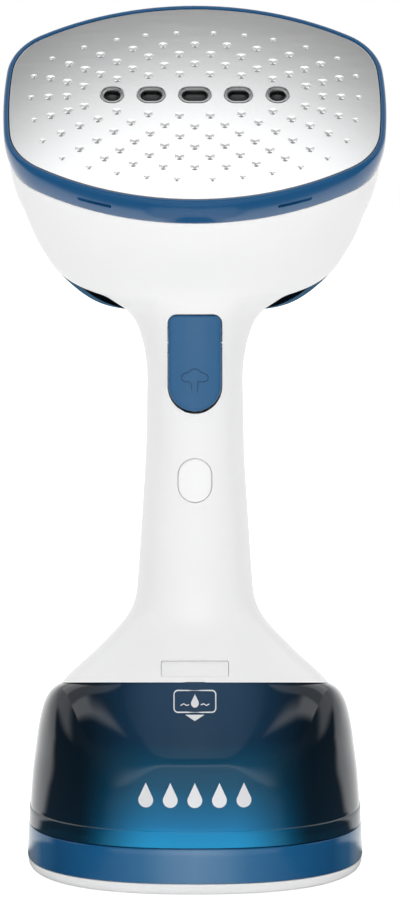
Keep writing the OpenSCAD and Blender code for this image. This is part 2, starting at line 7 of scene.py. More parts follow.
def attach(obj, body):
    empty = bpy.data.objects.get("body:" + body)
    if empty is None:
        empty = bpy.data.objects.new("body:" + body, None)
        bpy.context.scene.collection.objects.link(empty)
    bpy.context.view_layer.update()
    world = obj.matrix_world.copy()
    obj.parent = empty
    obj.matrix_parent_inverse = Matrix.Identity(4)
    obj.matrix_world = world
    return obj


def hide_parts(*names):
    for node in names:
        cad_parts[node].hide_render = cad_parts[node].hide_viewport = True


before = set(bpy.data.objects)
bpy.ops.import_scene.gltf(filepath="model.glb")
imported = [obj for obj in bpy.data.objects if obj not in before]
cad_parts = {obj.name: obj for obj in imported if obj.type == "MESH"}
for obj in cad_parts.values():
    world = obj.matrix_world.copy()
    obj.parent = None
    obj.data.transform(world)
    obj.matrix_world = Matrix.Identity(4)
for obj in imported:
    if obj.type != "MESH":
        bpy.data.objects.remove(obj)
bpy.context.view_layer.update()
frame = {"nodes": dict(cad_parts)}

MM = 0.001
scene = bpy.context.scene
COL = scene.collection


# ------------------------------------------------------------------ helpers
def new_obj(name, verts, faces, smooth=True):
    me = bpy.data.meshes.new(name)
    me.from_pydata([tuple(float(c) * MM for c in v) for v in verts], [], [tuple(int(i) for i in f) for f in faces])
    me.validate()
    ob = bpy.data.objects.new(name, me)
    COL.objects.link(ob)
    if smooth:
        me.polygons.foreach_set("use_smooth", [True] * len(me.polygons))
    return ob


def sharpen(ob, deg=35.0):
    """Mark edges over an angle as sharp, and point the faces outwards."""
    bm = bmesh.new(); bm.from_mesh(ob.data)
    bmesh.ops.recalc_face_normals(bm, faces=bm.faces[:])
    lim = math.radians(deg)
    for e in bm.edges:
        e.smooth = not (len(e.link_faces) == 2 and e.calc_face_angle(0.0) > lim)
    for f in bm.faces:
        f.smooth = True
    bm.to_mesh(ob.data); bm.free()
    return ob


def apply_mods(ob):
    dg = bpy.context.evaluated_depsgraph_get()
    dg.update()
    me = bpy.data.meshes.new_from_object(ob.evaluated_get(dg), preserve_all_data_layers=True, depsgraph=dg)
    ob.modifiers.clear()
    old = ob.data
    ob.data = me
    bpy.data.meshes.remove(old)
    return ob


def bevel(ob, width, seg=2, deg=40, apply=True):
    m = ob.modifiers.new("bevel", "BEVEL")
    m.width = width * MM; m.segments = seg; m.limit_method = 'ANGLE'; m.angle_limit = math.radians(deg)
    m.use_clamp_overlap = True
    if apply:
        apply_mods(ob)
    return ob


def smooth_ref(me):
    """A triangulated copy's BVH with its smooth normals."""
    bm = bmesh.new(); bm.from_mesh(me)
    bmesh.ops.triangulate(bm, faces=bm.faces[:])
    bm.normal_update()
    bm.verts.ensure_lookup_table()
    co = [v.co.copy() for v in bm.verts]; no = [v.normal.copy() for v in bm.verts]
    tri = [tuple(v.index for v in f.verts) for f in bm.faces]
    bm.free()
    return BVHTree.FromPolygons(co, tri), co, no, tri


def cut(ob, cutters, keep_normals=True, solver='EXACT'):
    """Subtract closed cutters, keeping the smooth shading of the surface around them."""
    ref = smooth_ref(ob.data) if keep_normals else None
    for c in cutters:
        m = ob.modifiers.new("cut", "BOOLEAN"); m.operation = 'DIFFERENCE'; m.object = c; m.solver = solver
        apply_mods(ob)
    for c in cutters:
        bpy.data.objects.remove(c, do_unlink=True)
    me = ob.data
    if ref:
        bvh, co, no, tri = ref
        out = [None] * len(me.loops)
        for p in me.polygons:
            p.use_smooth = True
            mid = bvh.find_nearest(p.center)
            on_skin = mid[0] is not None and mid[3] < 6e-5
            for li in p.loop_indices:
                v = me.vertices[me.loops[li].vertex_index].co
                hit = bvh.find_nearest(v)
                n = p.normal
                if on_skin and hit[0] is not None and hit[3] < 6e-5:
                    a, b, c = tri[hit[2]]
                    A, B, C = co[a], co[b], co[c]
                    d0, d1, d2 = B - A, C - A, hit[0] - A
                    q00, q01, q11, q20, q21 = d0 @ d0, d0 @ d1, d1 @ d1, d2 @ d0, d2 @ d1
                    den = q00 * q11 - q01 * q01
                    if abs(den) > 1e-24:
                        w1 = (q11 * q20 - q01 * q21) / den; w2 = (q00 * q21 - q01 * q20) / den
                        nn = (no[a] * (1 - w1 - w2) + no[b] * w1 + no[c] * w2)
                        if nn.length > 1e-6:
                            nn.normalize()
                            if nn @ p.normal > 0.6 or (p.area < 4e-8 and nn @ p.normal > -0.9):
                                n = nn
                out[li] = (n.x, n.y, n.z)
        me.normals_split_custom_set(out)
    return ob


# ------------------------------------------------------------------ outline functions
A0, B0 = 61.0, 42.0
EL = math.radians(40)
PC = np.array([0, -25.0, 251.5])
PT = np.array([0, math.sin(EL), math.cos(EL)])
PN = np.array([0, -math.cos(EL), math.sin(EL)])
BEZ = 11.0


def plate(x, v, s):
    """Point at x, v along the soleplate and s along its outward normal."""
    return PC + np.array([x, 0, 0]) + PT * v + PN * s


def rim(p, d):
    c, s = math.cos(math.radians(p)), math.sin(math.radians(p))
    if p <= 5.05:
        v = (-98.6 + (160 + d) * c, (160 + d) * s)
    elif p <= 58.8:
        v = (38.86 + (22 + d) * c, 12.14 + (22 + d) * s)
    else:
        v = ((97 + d) * c, -52 + (97 + d) * s)
    return v[0] * A0 / 61.4, v[1] * B0 / 45


QUART = list(np.linspace(0, 5.05, 5)[:-1]) + list(np.linspace(5.05, 58.8, 17)[:-1]) + list(np.linspace(58.8, 90, 14))
NQ = len(QUART)


def rim_loop(d, quart=QUART):
    out = []
    n = len(quart) - 1
    for q in range(4):
        for j in range(n):
            jj = j if q % 2 == 0 else n - j
            x, y = rim(quart[jj], d)
            out.append((-x if q in (1, 2) else x, -y if q >= 2 else y))
    return out


_bx = np.array([rim(p, 0) for p in QUART])
_bx = _bx / np.array([A0, B0])
_bx[-1, 0] = 0.0
_phi = np.arctan2(_bx[:, 1], _bx[:, 0])


def unit_half(n, m):
    c, s = np.abs(np.cos(_phi)), np.abs(np.sin(_phi))
    r = (c ** n + s ** n) ** (-1.0 / n)
    x = m * _bx[:, 0] + (1 - m) * r * np.cos(_phi)
    y = m * _bx[:, 1] + (1 - m) * r * np.sin(_phi)
    x[-1] = 0.0
    return np.concatenate([x, -x[-2::-1]]), np.concatenate([y, y[-2::-1]])


def densify(st, step, keys=(0, 1, 2, 3, 4), sigma=1.6):
    """Smooth curve through given stations, resampled at even steps."""
    st = np.array(st, float)
    d = np.sqrt(sum((np.diff(st[:, k])) ** 2 for k in keys))
    t = np.concatenate([[0], np.cumsum(d)])
    tan = np.zeros_like(st)
    for i in range(len(st)):
        if i == 0:
            tan[i] = (st[1] - st[0]) / (t[1] - t[0])
        elif i == len(st) - 1:
            tan[i] = (st[-1] - st[-2]) / (t[-1] - t[-2])
        else:
            h0, h1 = t[i] - t[i - 1], t[i + 1] - t[i]
            tan[i] = ((st[i] - st[i - 1]) / h0 * h1 + (st[i + 1] - st[i]) / h1 * h0) / (h0 + h1)
    n = max(2, int(round(t[-1] / step)))
    u = np.linspace(0, t[-1], n + 1)
    out = []
    for x in u:
        i = min(len(t) - 2, max(0, int(np.searchsorted(t, x)) - 1))
        h = t[i + 1] - t[i]; s = (x - t[i]) / h
        out.append((2 * s**3 - 3 * s**2 + 1) * st[i] + (s**3 - 2 * s**2 + s) * h * tan[i] + (-2 * s**3 + 3 * s**2) * st[i + 1] + (s**3 - s**2) * h * tan[i + 1])
    out = np.array(out)
    if sigma:
        k = np.exp(-0.5 * (np.arange(-6, 7) / sigma) ** 2); k /= k.sum()
        pad = np.concatenate([2 * out[0] - out[6:0:-1], out, 2 * out[-1] - out[-2:-8:-1]])
        sm = np.stack([np.convolve(pad[:, j], k, mode='valid') for j in range(out.shape[1])], 1)
        sm[0], sm[-1] = out[0], out[-1]
        out = sm
    return out


def half_ring(s, t):
    wy, wz, ey, ez, a, n, m = s[:7]
    ux, uy = unit_half(max(n, 1.6), min(1, max(0, m)))
    L = math.hypot(ey - wy, ez - wz); g = (L - t) / L
    ey, ez = wy + (ey - wy) * g, wz + (ez - wz) * g
    return np.stack([ux * (a - t), wy + uy * (ey - wy), wz + uy * (ez - wz)], 1)


def half_shell(name, st, t, edge=0.45, step=1.25, sigma=1.6):
    """Closed C-shaped shell with rounded parting edges and flat closed ends."""
    D = densify(st, step, sigma=sigma)
    K = len(D)
    loops = []
    for k, s in enumerate(D):
        o = half_ring(s, 0.0); i = half_ring(s, t)
        # round the two parting edges
        def rounded(o, i):
            a0 = o[0] * 0.5 + o[1] * 0.5
            d = (i[0] - o[0]) / np.linalg.norm(i[0] - o[0])
            u = (o[1] - o[0]) / np.linalg.norm(o[1] - o[0])
            r = edge
            return [o[0] + d * r, o[0] + d * r * 0.3 + u * r * 0.3, o[0] + u * r]
        left = rounded(o, i)
        right = rounded(o[::-1], i[::-1])[::-1]
        L = left + [p for p in o[1:-1]] + right
        # drop the points nearer to the edge than the rounding
        L = left + [p for p in o[1:-1] if np.linalg.norm(p - o[0]) > edge * 1.5 and np.linalg.norm(p - o[-1]) > edge * 1.5] + right
        loops.append((L, list(i[::-1])))
    n0 = min(len(l[0]) for l in loops)
    # keep the same count on every loop
    fixed = []
    for L, I in loops:
        mid = np.array(L[3:-3])
        want = n0 - 6
        if len(mid) != want:
            dd = np.concatenate([[0], np.cumsum(np.linalg.norm(np.diff(mid, axis=0), axis=1))])
            uu = np.linspace(0, 1, want)
            base = np.interp(uu, np.linspace(0, 1, len(mid)), dd)
            mid = np.stack([np.interp(base, dd, mid[:, j]) for j in range(3)], 1)
        fixed.append(list(L[:3]) + list(mid) + list(L[-3:]) + I)
    N = len(fixed[0])
    V = [p for l in fixed for p in l]
    F = []
    for k in range(K - 1):
        for j in range(N):
            j2 = (j + 1) % N
            F.append((k * N + j, (k + 1) * N + j, (k + 1) * N + j2, k * N + j2))
    no = n0
    ni = N - n0
    for k, rev in ((0, False), (K - 1, True)):
        # strip between outer (0..no-1) and inner (no..N-1, reversed)
        b = k * N
        # match by parameter
        i, j = 0, N - 1
        while i < no - 1 or j > no:
            fi = i / (no - 1); fj = (N - 1 - j) / (ni - 1)
            if (fi <= fj and i < no - 1) or j == no:
                f = (b + i, b + i + 1, b + j); i += 1
            else:
                f = (b + i, b + j - 1, b + j); j -= 1
            F.append(f[::-1] if rev else f)
    ob = new_obj(name, V, F)
    sharpen(ob, 50)
    return ob


def loft_closed(name, rings, caps=True, sharp=35):
    N = len(rings[0]); K = len(rings)
    V = [p for r in rings for p in r]
    F = [(k * N + j, (k + 1) * N + j, (k + 1) * N + (j + 1) % N, k * N + (j + 1) % N) for k in range(K - 1) for j in range(N)]
    if caps:
        F.append(tuple(range(N))[::-1]); F.append(tuple((K - 1) * N + i for i in range(N)))
    ob = new_obj(name, V, F)
    return sharpen(ob, sharp)


def torus_loft(name, rings, sharp=35):
    """Rings that close on themselves in the other direction too."""
    N = len(rings[0]); K = len(rings)
    V = [p for r in rings for p in r]
    F = [(k * N + j, ((k + 1) % K) * N + j, ((k + 1) % K) * N + (j + 1) % N, k * N + (j + 1) % N) for k in range(K) for j in range(N)]
    ob = new_obj(name, V, F)
    return sharpen(ob, sharp)


NB = 200
_bphi = -np.arange(NB) * 2 * math.pi / NB


def base_ring(z0, k, a, ff, bb, n=2.35, t=0.0):
    c, s = np.abs(np.cos(_bphi)), np.abs(np.sin(_bphi))
    r = (c ** n + s ** n) ** (-1.0 / n)
    y = np.where(np.sin(_bphi) < 0, ff - t, bb - t) * r * np.sin(_bphi)
    return np.stack([(a - t) * r * np.cos(_bphi), y, z0 - k * y], 1)


# ------------------------------------------------------------------ stations
FS = [[-16.6, 244.4, -43.0, 212.9, 60.1, 2.5, 1], [-12.5, 236.5, -38.6, 207.4, 59.2, 2.45, 0.8], [-8, 228.5, -34.4, 202.6, 57.4, 2.4, 0.5],
  [-4.5, 220, -31.0, 199.2, 55.2, 2.35, 0.2], [-1.5, 212, -28.2, 196.3, 52.8, 2.3, 0], [0.5, 205.5, -26.0, 193.8, 49.7, 2.25, 0],
  [2, 199.2, -24.2, 191.6, 46.2, 2.2, 0], [3, 197.4, -23.6, 190.6, 44.4, 2.2, 0], [3, 194.2, -23.0, 189.2, 40.2, 2.2, 0], [3, 191.8, -22.6, 188.2, 35.3, 2.2, 0],
  [3, 189.9, -22.2, 187.0, 30.3, 2.2, 0], [2.8, 187.3, -21.8, 185.4, 26.7, 2.2, 0], [2.4, 185, -21.5, 183.8, 23.1, 2.2, 0],
  [1.4, 181.1, -20.9, 180.7, 19.8, 2.25, 0], [0.4, 175.8, -20.4, 175.8, 17.7, 2.3, 0], [0, 166, -19.8, 166, 15.9, 2.4, 0],
  [0, 152.8, -19.5, 152.8, 15.9, 2.4, 0], [0, 136, -19.2, 136, 16.3, 2.4, 0], [0, 123, -19.0, 123, 17.1, 2.4, 0], [0, 106.4, -18.9, 106.4, 18.2, 2.4, 0],
  [0, 96.4, -19.0, 96.6, 18.9, 2.4, 0], [0, 89.7, -19.3, 90.2, 19.6, 2.45, 0], [0, 86.4, -19.7, 87.2, 20.6, 2.5, 0], [0, 83.0, -20.3, 84.1, 22.4, 2.6, 0],
  [0, 79.7, -21.2, 81.2, 25.0, 2.8, 0], [0, 76.3, -22.5, 78.4, 28.2, 3.0, 0], [0, 73.0, -24.0, 75.5, 31.5, 3.2, 0], [0, 69.6, -25.9, 72.7, 35.0, 3.4, 0],
  [0, 66.3, -27.6, 70.0, 38.7, 3.6, 0], [0, 62.9, -29.3, 67.2, 42.2, 3.8, 0], [0, 60.7, -30.3, 60.7 + 0.163 * 30.3, 43.9, 3.9, 0]]
RS = [[1.4, 183.9, 18.6, 183.9, 17.9, 2.3, 0], [0.9, 180, 18.5, 180, 17.9, 2.3, 0], [0.4, 175.8, 18.4, 175.8, 17.4, 2.3, 0], [0, 166, 18.0, 166, 15.9, 2.4, 0],
  [0, 152.8, 17.9, 152.8, 15.9, 2.4, 0], [0, 136, 18.0, 136, 16.3, 2.4, 0], [0, 123, 18.2, 123, 17.1, 2.4, 0], [0, 106.4, 18.4, 106.4, 18.2, 2.4, 0],
  [0, 96.4, 18.9, 96.2, 18.9, 2.4, 0], [0, 89.7, 19.8, 89.2, 19.6, 2.4, 0], [0, 86.4, 20.6, 85.6, 20.6, 2.4, 0], [0, 83.0, 22.0, 81.8, 22.4, 2.4, 0],
  [0, 79.7, 24.0, 78.0, 25.0, 2.4, 0], [0, 76.3, 26.6, 74.0, 28.2, 2.4, 0], [0, 73.0, 29.5, 70.0, 31.5, 2.4, 0], [0, 69.6, 32.6, 65.9, 35.0, 2.4, 0],
  [0, 66.3, 36.0, 61.6, 38.7, 2.4, 0], [0, 62.9, 39.4, 57.0, 42.2, 2.4, 0], [0, 60.7, 41.0, 60.7 - 0.163 * 41, 43.9, 2.4, 0]]
DS = [[-16.4, 244.3, 9.8, 275.8, 60.1, 2.5, 1], [-12.3, 236.6, 17.6, 272.4, 59.2, 2.45, 0.8], [-7.8, 228.6, 26.0, 265.0, 57.5, 2.4, 0.5], [-4.3, 220.1, 32.6, 254.5, 55.4, 2.35, 0.2],
  [-1.3, 212.1, 37.2, 241.5, 53.1, 2.3, 0], [0.8, 206, 39.8, 227.0, 50.6, 2.25, 0], [2.3, 200.2, 40.2, 212.5, 47.6, 2.25, 0], [3.2, 196.2, 38.6, 201.8, 44.6, 2.25, 0],
  [3.2, 192.2, 35.6, 194.4, 40.4, 2.3, 0], [3.2, 188.8, 32.0, 189.6, 36.0, 2.3, 0], [3.2, 186.4, 28.4, 186.6, 31.6, 2.3, 0], [3.0, 185.1, 24.8, 185.1, 27.4, 2.3, 0],
  [2.6, 184.4, 21.4, 184.4, 23.0, 2.3, 0], [2.2, 184.2, 18.8, 184.2, 20.2, 2.3, 0]]
# tank: z0, slope, half-width, front, back, exponent
TS = [[60.5, 0.163, 44.3, 38.0, 41.4, 2.8], [59.4, 0.155, 46.4, 39.8, 43.2, 2.8], [57.6, 0.14, 48.2, 41.8, 44.8, 2.75], [54.6, 0.11, 49.9, 43.6, 46.3, 2.7], [51.0, 0.07, 51.0, 45.0, 47.4, 2.65],
  [46.1, 0.03, 52.0, 46.3, 48.2, 2.6], [41, 0, 52.7, 47.1, 48.8, 2.5], [32.6, 0, 53.8, 48.2, 49.5, 2.42], [24, 0, 54.5, 48.9, 49.9, 2.37], [15.3, 0, 55.0, 49.5, 50.1, 2.35]]


# ------------------------------------------------------------------ materials
def mat(name, color, rough=0.35, metal=0.0, bump=0.0, bump_scale=900.0, var=0.04, var_scale=60.0, rough_var=0.05, coat=0.0, coat_rough=0.05,
        trans=0.0, ior=1.47, spec=0.5, wear=None, stretch=None):
    m = bpy.data.materials.new(name); m.use_nodes = True
    nt = m.node_tree; N = nt.nodes; L = nt.links
    b = N["Principled BSDF"]
    b.inputs["Metallic"].default_value = metal
    b.inputs["IOR"].default_value = ior
    b.inputs["Specular IOR Level"].default_value = spec
    b.inputs["Transmission Weight"].default_value = trans
    b.inputs["Coat Weight"].default_value = coat
    b.inputs["Coat Roughness"].default_value = coat_rough
    tc = N.new("ShaderNodeTexCoord")
    mp = N.new("ShaderNodeMapping")
    if stretch:
        mp.inputs["Scale"].default_value = stretch
    L.new(tc.outputs["Object"], mp.inputs["Vector"])
    n1 = N.new("ShaderNodeTexNoise"); n1.inputs["Scale"].default_value = var_scale; n1.inputs["Detail"].default_value = 5
    L.new(mp.outputs[0], n1.inputs["Vector"])
    ramp = N.new("ShaderNodeMix"); ramp.data_type = 'RGBA'
    c = np.array(color[:3])
    ramp.inputs[6].default_value = (*np.clip(c * (1 - var), 0, 1), 1)
    ramp.inputs[7].default_value = (*np.clip(c * (1 + var), 0, 1), 1)
    L.new(n1.outputs["Fac"], ramp.inputs[0])
    last = ramp.outputs[2]
    if wear:
        # lighter rubbed edges
        geo = N.new("ShaderNodeNewGeometry")
        mr = N.new("ShaderNodeMapRange"); mr.inputs[1].default_value = 0.52; mr.inputs[2].default_value = 0.62
        L.new(geo.outputs["Pointiness"], mr.inputs[0])
        n3 = N.new("ShaderNodeTexNoise"); n3.inputs["Scale"].default_value = 400
        L.new(tc.outputs["Object"], n3.inputs["Vector"])
        mul = N.new("ShaderNodeMath"); mul.operation = 'MULTIPLY'; L.new(mr.outputs[0], mul.inputs[0]); L.new(n3.outputs["Fac"], mul.inputs[1])
        mx = N.new("ShaderNodeMix"); mx.data_type = 'RGBA'; L.new(mul.outputs[0], mx.inputs[0]); L.new(last, mx.inputs[6]); mx.inputs[7].default_value = (*wear, 1)
        last = mx.outputs[2]
    L.new(last, b.inputs["Base Color"])
    n2 = N.new("ShaderNodeTexNoise"); n2.inputs["Scale"].default_value = bump_scale; n2.inputs["Detail"].default_value = 3
    L.new(mp.outputs[0], n2.inputs["Vector"])
    rr = N.new("ShaderNodeMapRange"); rr.inputs[3].default_value = max(0.0, rough - rough_var); rr.inputs[4].default_value = min(1.0, rough + rough_var)
    L.new(n1.outputs["Fac"], rr.inputs[0]); L.new(rr.outputs[0], b.inputs["Roughness"])
    if bump > 0:
        bp = N.new("ShaderNodeBump"); bp.inputs["Strength"].default_value = bump; bp.inputs["Distance"].default_value = 0.00012
        L.new(n2.outputs["Fac"], bp.inputs["Height"]); L.new(bp.outputs[0], b.inputs["Normal"])
    return m


def lin(r, g, b):
    return tuple(((c / 255.0) / 12.92 if c / 255.0 <= 0.04045 else ((c / 255.0 + 0.055) / 1.055) ** 2.4) for c in (r, g, b))


M = {}
M["white"] = mat("white_abs", lin(238, 238, 238), rough=0.32, bump=0.10, bump_scale=1400, var=0.012, rough_var=0.05, spec=0.45)
M["white_btn"] = mat("white_button_abs", lin(242, 242, 242), rough=0.36, bump=0.08, bump_scale=1800, var=0.01)
M["blue"] = mat("gloss_blue_abs", lin(24, 80, 124), rough=0.15, bump=0.05, bump_scale=1100, var=0.05, rough_var=0.04, coat=0.0, coat_rough=0.06)
M["trig"] = mat("trigger_blue_abs", lin(39, 93, 136), rough=0.30, bump=0.18, bump_scale=2200, var=0.05, rough_var=0.05)
M["trig_dark"] = mat("trigger_icon_blue", lin(24, 68, 108), rough=0.35, bump=0.1, var=0.03)
M["ring"] = mat("ring_translucent_blue", lin(40, 100, 146), rough=0.13, bump=0.05, bump_scale=1100, var=0.05, rough_var=0.04)
M["navy"] = mat("navy_cover_abs", lin(44, 88, 118), rough=0.16, bump=0.05, var=0.05, coat=0.2)
M["steel"] = mat("steel", (0.62, 0.62, 0.64), rough=0.28, metal=1.0, bump=0.15, bump_scale=1500, stretch=(1, 1, 12), var=0.06)
M["black"] = mat("black_nylon", (0.018, 0.018, 0.02), rough=0.5, bump=0.4, bump_scale=2500, var=0.2)
M["rubber"] = mat("black_rubber", (0.014, 0.014, 0.014), rough=0.72, bump=0.5, bump_scale=3000, var=0.25)
M["red"] = mat("red_acetal", (0.5, 0.03, 0.02), rough=0.4, bump=0.1)
M["board"] = mat("solder_mask", (0.01, 0.13, 0.05), rough=0.3, bump=0.6, bump_scale=400, var=0.3, var_scale=300)
M["led"] = mat("led_lens", (0.7, 0.85, 1.0), rough=0.08, trans=0.6, bump=0.02)
M["alu"] = mat("cast_aluminium", (0.55, 0.56, 0.57), rough=0.45, metal=1.0, bump=0.6, bump_scale=700, var=0.08)
M["silicone"] = mat("silicone", (0.45, 0.05, 0.03), rough=0.6, bump=0.2, var=0.08)
M["sheath"] = mat("element_sheath", (0.12, 0.11, 0.1), rough=0.4, metal=0.9, bump=0.3, var=0.2)
M["ceramic"] = mat("steatite", (0.72, 0.68, 0.58), rough=0.55, bump=0.4, bump_scale=1200, var=0.05)
M["brass"] = mat("brass", (0.62, 0.42, 0.14), rough=0.25, metal=1.0, bump=0.1, var=0.06)
M["hose"] = mat("silicone_hose", (0.75, 0.76, 0.74), rough=0.4, trans=0.35, bump=0.15, var=0.03)
M["pale"] = mat("natural_nylon", (0.72, 0.72, 0.68), rough=0.5, bump=0.25, var=0.04)
M["copper"] = mat("enamelled_winding", (0.5, 0.16, 0.04), rough=0.3, metal=0.85, bump=0.8, bump_scale=1800, stretch=(1, 1, 6), var=0.12)
M["grey"] = mat("grey_pp", (0.06, 0.06, 0.065), rough=0.5, bump=0.3, var=0.1)
M["silver"] = mat("silver_print", (0.84, 0.85, 0.87), rough=0.36, metal=0.45, bump=0.06, bump_scale=1600, var=0.08)


def plate_material():
    m = mat("satin_soleplate", (0.68, 0.685, 0.69), rough=0.16, metal=1.0, bump=0.05, bump_scale=900, var=0.03, rough_var=0.02, stretch=(1, 8, 8))
    return m


M["plate"] = plate_material()
M["collar"] = mat("slot_collar_steel", (0.40, 0.405, 0.41), rough=0.22, metal=1.0, bump=0.08, bump_scale=1200, var=0.05)
M["throat"] = mat("nozzle_metal", (0.20, 0.20, 0.205), rough=0.42, metal=1.0, bump=0.3, bump_scale=900, var=0.1)


def tank_material():
    m = bpy.data.materials.new("tank_clear_blue"); m.use_nodes = True
    nt = m.node_tree; N = nt.nodes; L = nt.links
    b = N["Principled BSDF"]
    b.inputs["IOR"].default_value = 1.49
    b.inputs["Transmission Weight"].default_value = 0.25
    tc = N.new("ShaderNodeTexCoord"); sep = N.new("ShaderNodeSeparateXYZ"); L.new(tc.outputs["Object"], sep.inputs[0])
    ns = N.new("ShaderNodeTexNoise"); ns.inputs["Scale"].default_value = 38; ns.inputs["Detail"].default_value = 3; L.new(tc.outputs["Object"], ns.inputs["Vector"])
    # colour up the wall: the tint's own deep blue above, painted brighter towards the foot as a glow of light through
    # the wall
    z = N.new("ShaderNodeMapRange"); z.inputs[1].default_value = 0.012; z.inputs[2].default_value = 0.066
    L.new(sep.outputs["Z"], z.inputs[0])
    zz = N.new("ShaderNodeMath"); zz.operation = 'MULTIPLY_ADD'; L.new(ns.outputs["Fac"], zz.inputs[0]); zz.inputs[1].default_value = 0.06; L.new(z.outputs[0], zz.inputs[2])
    cr = N.new("ShaderNodeValToRGB"); e = cr.color_ramp.elements
    e[0].position = 0.0; e[0].color = (0.008, 0.38, 0.72, 1)
    e[1].position = 1.0; e[1].color = (0.012, 0.055, 0.12, 1)
    for pos, col in ((0.175, (0.006, 0.32, 0.66)), (0.215, (0.006, 0.22, 0.48)), (0.30, (0.005, 0.17, 0.36)), (0.45, (0.006, 0.10, 0.20)), (0.60, (0.008, 0.072, 0.14)), (0.70, (0.008, 0.045, 0.10))):
        x = e.new(pos); x.color = (*col, 1)
    L.new(zz.outputs[0], cr.inputs[0])
    # painted dark reflection: the colour is darkened almost to black towards the sides, where the wall reflects dark
    # surroundings
    ax = N.new("ShaderNodeMath"); ax.operation = 'ABSOLUTE'; L.new(sep.outputs["X"], ax.inputs[0])
    x = N.new("ShaderNodeMapRange"); x.inputs[1].default_value = 0.012; x.inputs[2].default_value = 0.038; x.inputs[3].default_value = 1.0; x.inputs[4].default_value = 0.03; x.interpolation_type = 'SMOOTHSTEP'
    L.new(ax.outputs[0], x.inputs[0])
    mu = N.new("ShaderNodeMix"); mu.data_type = 'RGBA'; L.new(x.outputs[0], mu.inputs[0]); mu.inputs[6].default_value = (0.001, 0.007, 0.014, 1); L.new(cr.outputs[0], mu.inputs[7])
    L.new(mu.outputs[2], b.inputs["Base Color"])
    rr = N.new("ShaderNodeMapRange"); rr.inputs[3].default_value = 0.03; rr.inputs[4].default_value = 0.07
    L.new(ns.outputs["Fac"], rr.inputs[0]); L.new(rr.outputs[0], b.inputs["Roughness"])
    n2 = N.new("ShaderNodeTexNoise"); n2.inputs["Scale"].default_value = 14; L.new(tc.outputs["Object"], n2.inputs["Vector"])
    bp = N.new("ShaderNodeBump"); bp.inputs["Strength"].default_value = 0.05; bp.inputs["Distance"].default_value = 0.001
    L.new(n2.outputs["Fac"], bp.inputs["Height"]); L.new(bp.outputs[0], b.inputs["Normal"])
    return m


M["tank"] = tank_material()


def ring_painted_reflections():
    m = M["ring"]; N, L = m.node_tree.nodes, m.node_tree.links
    b = N["Principled BSDF"]; base = b.inputs["Base Color"].links[0].from_socket
    tc = N.new("ShaderNodeTexCoord"); sep = N.new("ShaderNodeSeparateXYZ"); L.new(tc.outputs["Object"], sep.inputs[0])
    ax = N.new("ShaderNodeMath"); ax.operation = 'ABSOLUTE'; L.new(sep.outputs["X"], ax.inputs[0])
    # painted reflections: the ring's own blue is painted lighter in the middle as a highlight, darker towards the sides
    # as dark reflection and pale at the ends as an edge reflection
    cr = N.new("ShaderNodeValToRGB"); e = cr.color_ramp.elements
    e[0].position = 0.0; e[0].color = (*lin(96, 134, 168), 1)
    e[1].position = 1.0; e[1].color = (*lin(150, 165, 176), 1)
    for pos, col in ((0.16, lin(82, 124, 160)), (0.30, lin(48, 104, 146)), (0.55, lin(18, 84, 130)), (0.80, lin(6, 66, 108)), (0.90, lin(40, 90, 128))):
        x = e.new(pos); x.color = (*col, 1)
    mr = N.new("ShaderNodeMapRange"); mr.inputs[1].default_value = 0.0; mr.inputs[2].default_value = 0.0555; L.new(ax.outputs[0], mr.inputs[0]); L.new(mr.outputs[0], cr.inputs[0])
    mx = N.new("ShaderNodeMix"); mx.data_type = 'RGBA'; mx.inputs[0].default_value = 0.85; L.new(base, mx.inputs[6]); L.new(cr.outputs[0], mx.inputs[7])
    L.new(mx.outputs[2], b.inputs["Base Color"])


ring_painted_reflections()


def assign(ob, key):
    ob.data.materials.clear(); ob.data.materials.append(M[key])


def put(ob, key, body, slot=None, *nodes):
    assign(ob, key)
    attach(ob, body)
    if nodes:
        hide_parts(*nodes)
    return ob


# ------------------------------------------------------------------ cutters
def prism(name, outline, y0, y1):
    """Closed prism of an x, z outline from y0 to y1."""
    n = len(outline)
    V = [(x, y0, z) for x, z in outline] + [(x, y1, z) for x, z in outline]
    F = [tuple(range(n)), tuple(range(2 * n - 1, n - 1, -1))] + [(i, n + i, n + (i + 1) % n, (i + 1) % n) for i in range(n)]
    ob = new_obj(name, V, F, smooth=False)
    bm = bmesh.new(); bm.from_mesh(ob.data); bmesh.ops.recalc_face_normals(bm, faces=bm.faces[:]); bm.to_mesh(ob.data); bm.free()
    return ob


def trig_outline(c, n=14, drop=0.0):
    """Trigger outline grown by c: round foot, small top corners."""
    pts = []
    for i in range(2 * n + 1):
        a = math.pi + math.pi * i / (2 * n)
        pts.append(((8.35 + c) * math.cos(a), 160.65 - drop + (8.35 + c) * math.sin(a)))
    r = max(0.5, 2.6 + c); dx = 8.35 + c - r; dz = 183.2 + c - r
    for k in range(1, 8):
        pts.append((8.35 + c, 160.65 + (dz - 160.65) * k / 8))
    for i in range(9):
        a = math.pi / 2 * i / 8
        pts.append((dx + r * math.cos(a), dz + r * math.sin(a)))
    for k in range(1, 8):
        pts.append((dx - 2 * dx * k / 8, dz + r))
    for i in range(9):
        a = math.pi / 2 + math.pi / 2 * i / 8
        pts.append((-dx + r * math.cos(a), dz + r * math.sin(a)))
    for k in range(1, 8):
        pts.append((-8.35 - c, dz + (160.65 - dz) * k / 8))
    return pts


def oval_outline(rx, rz, zc=129.7, n=20):
    out = []
    for s in (1, -1):
        for i in range(n + 1):
            a = math.pi * i / n + (0 if s > 0 else math.pi)
            out.append((rx * math.cos(a), zc + s * (rz - rx) + rx * math.sin(a)))
    return out


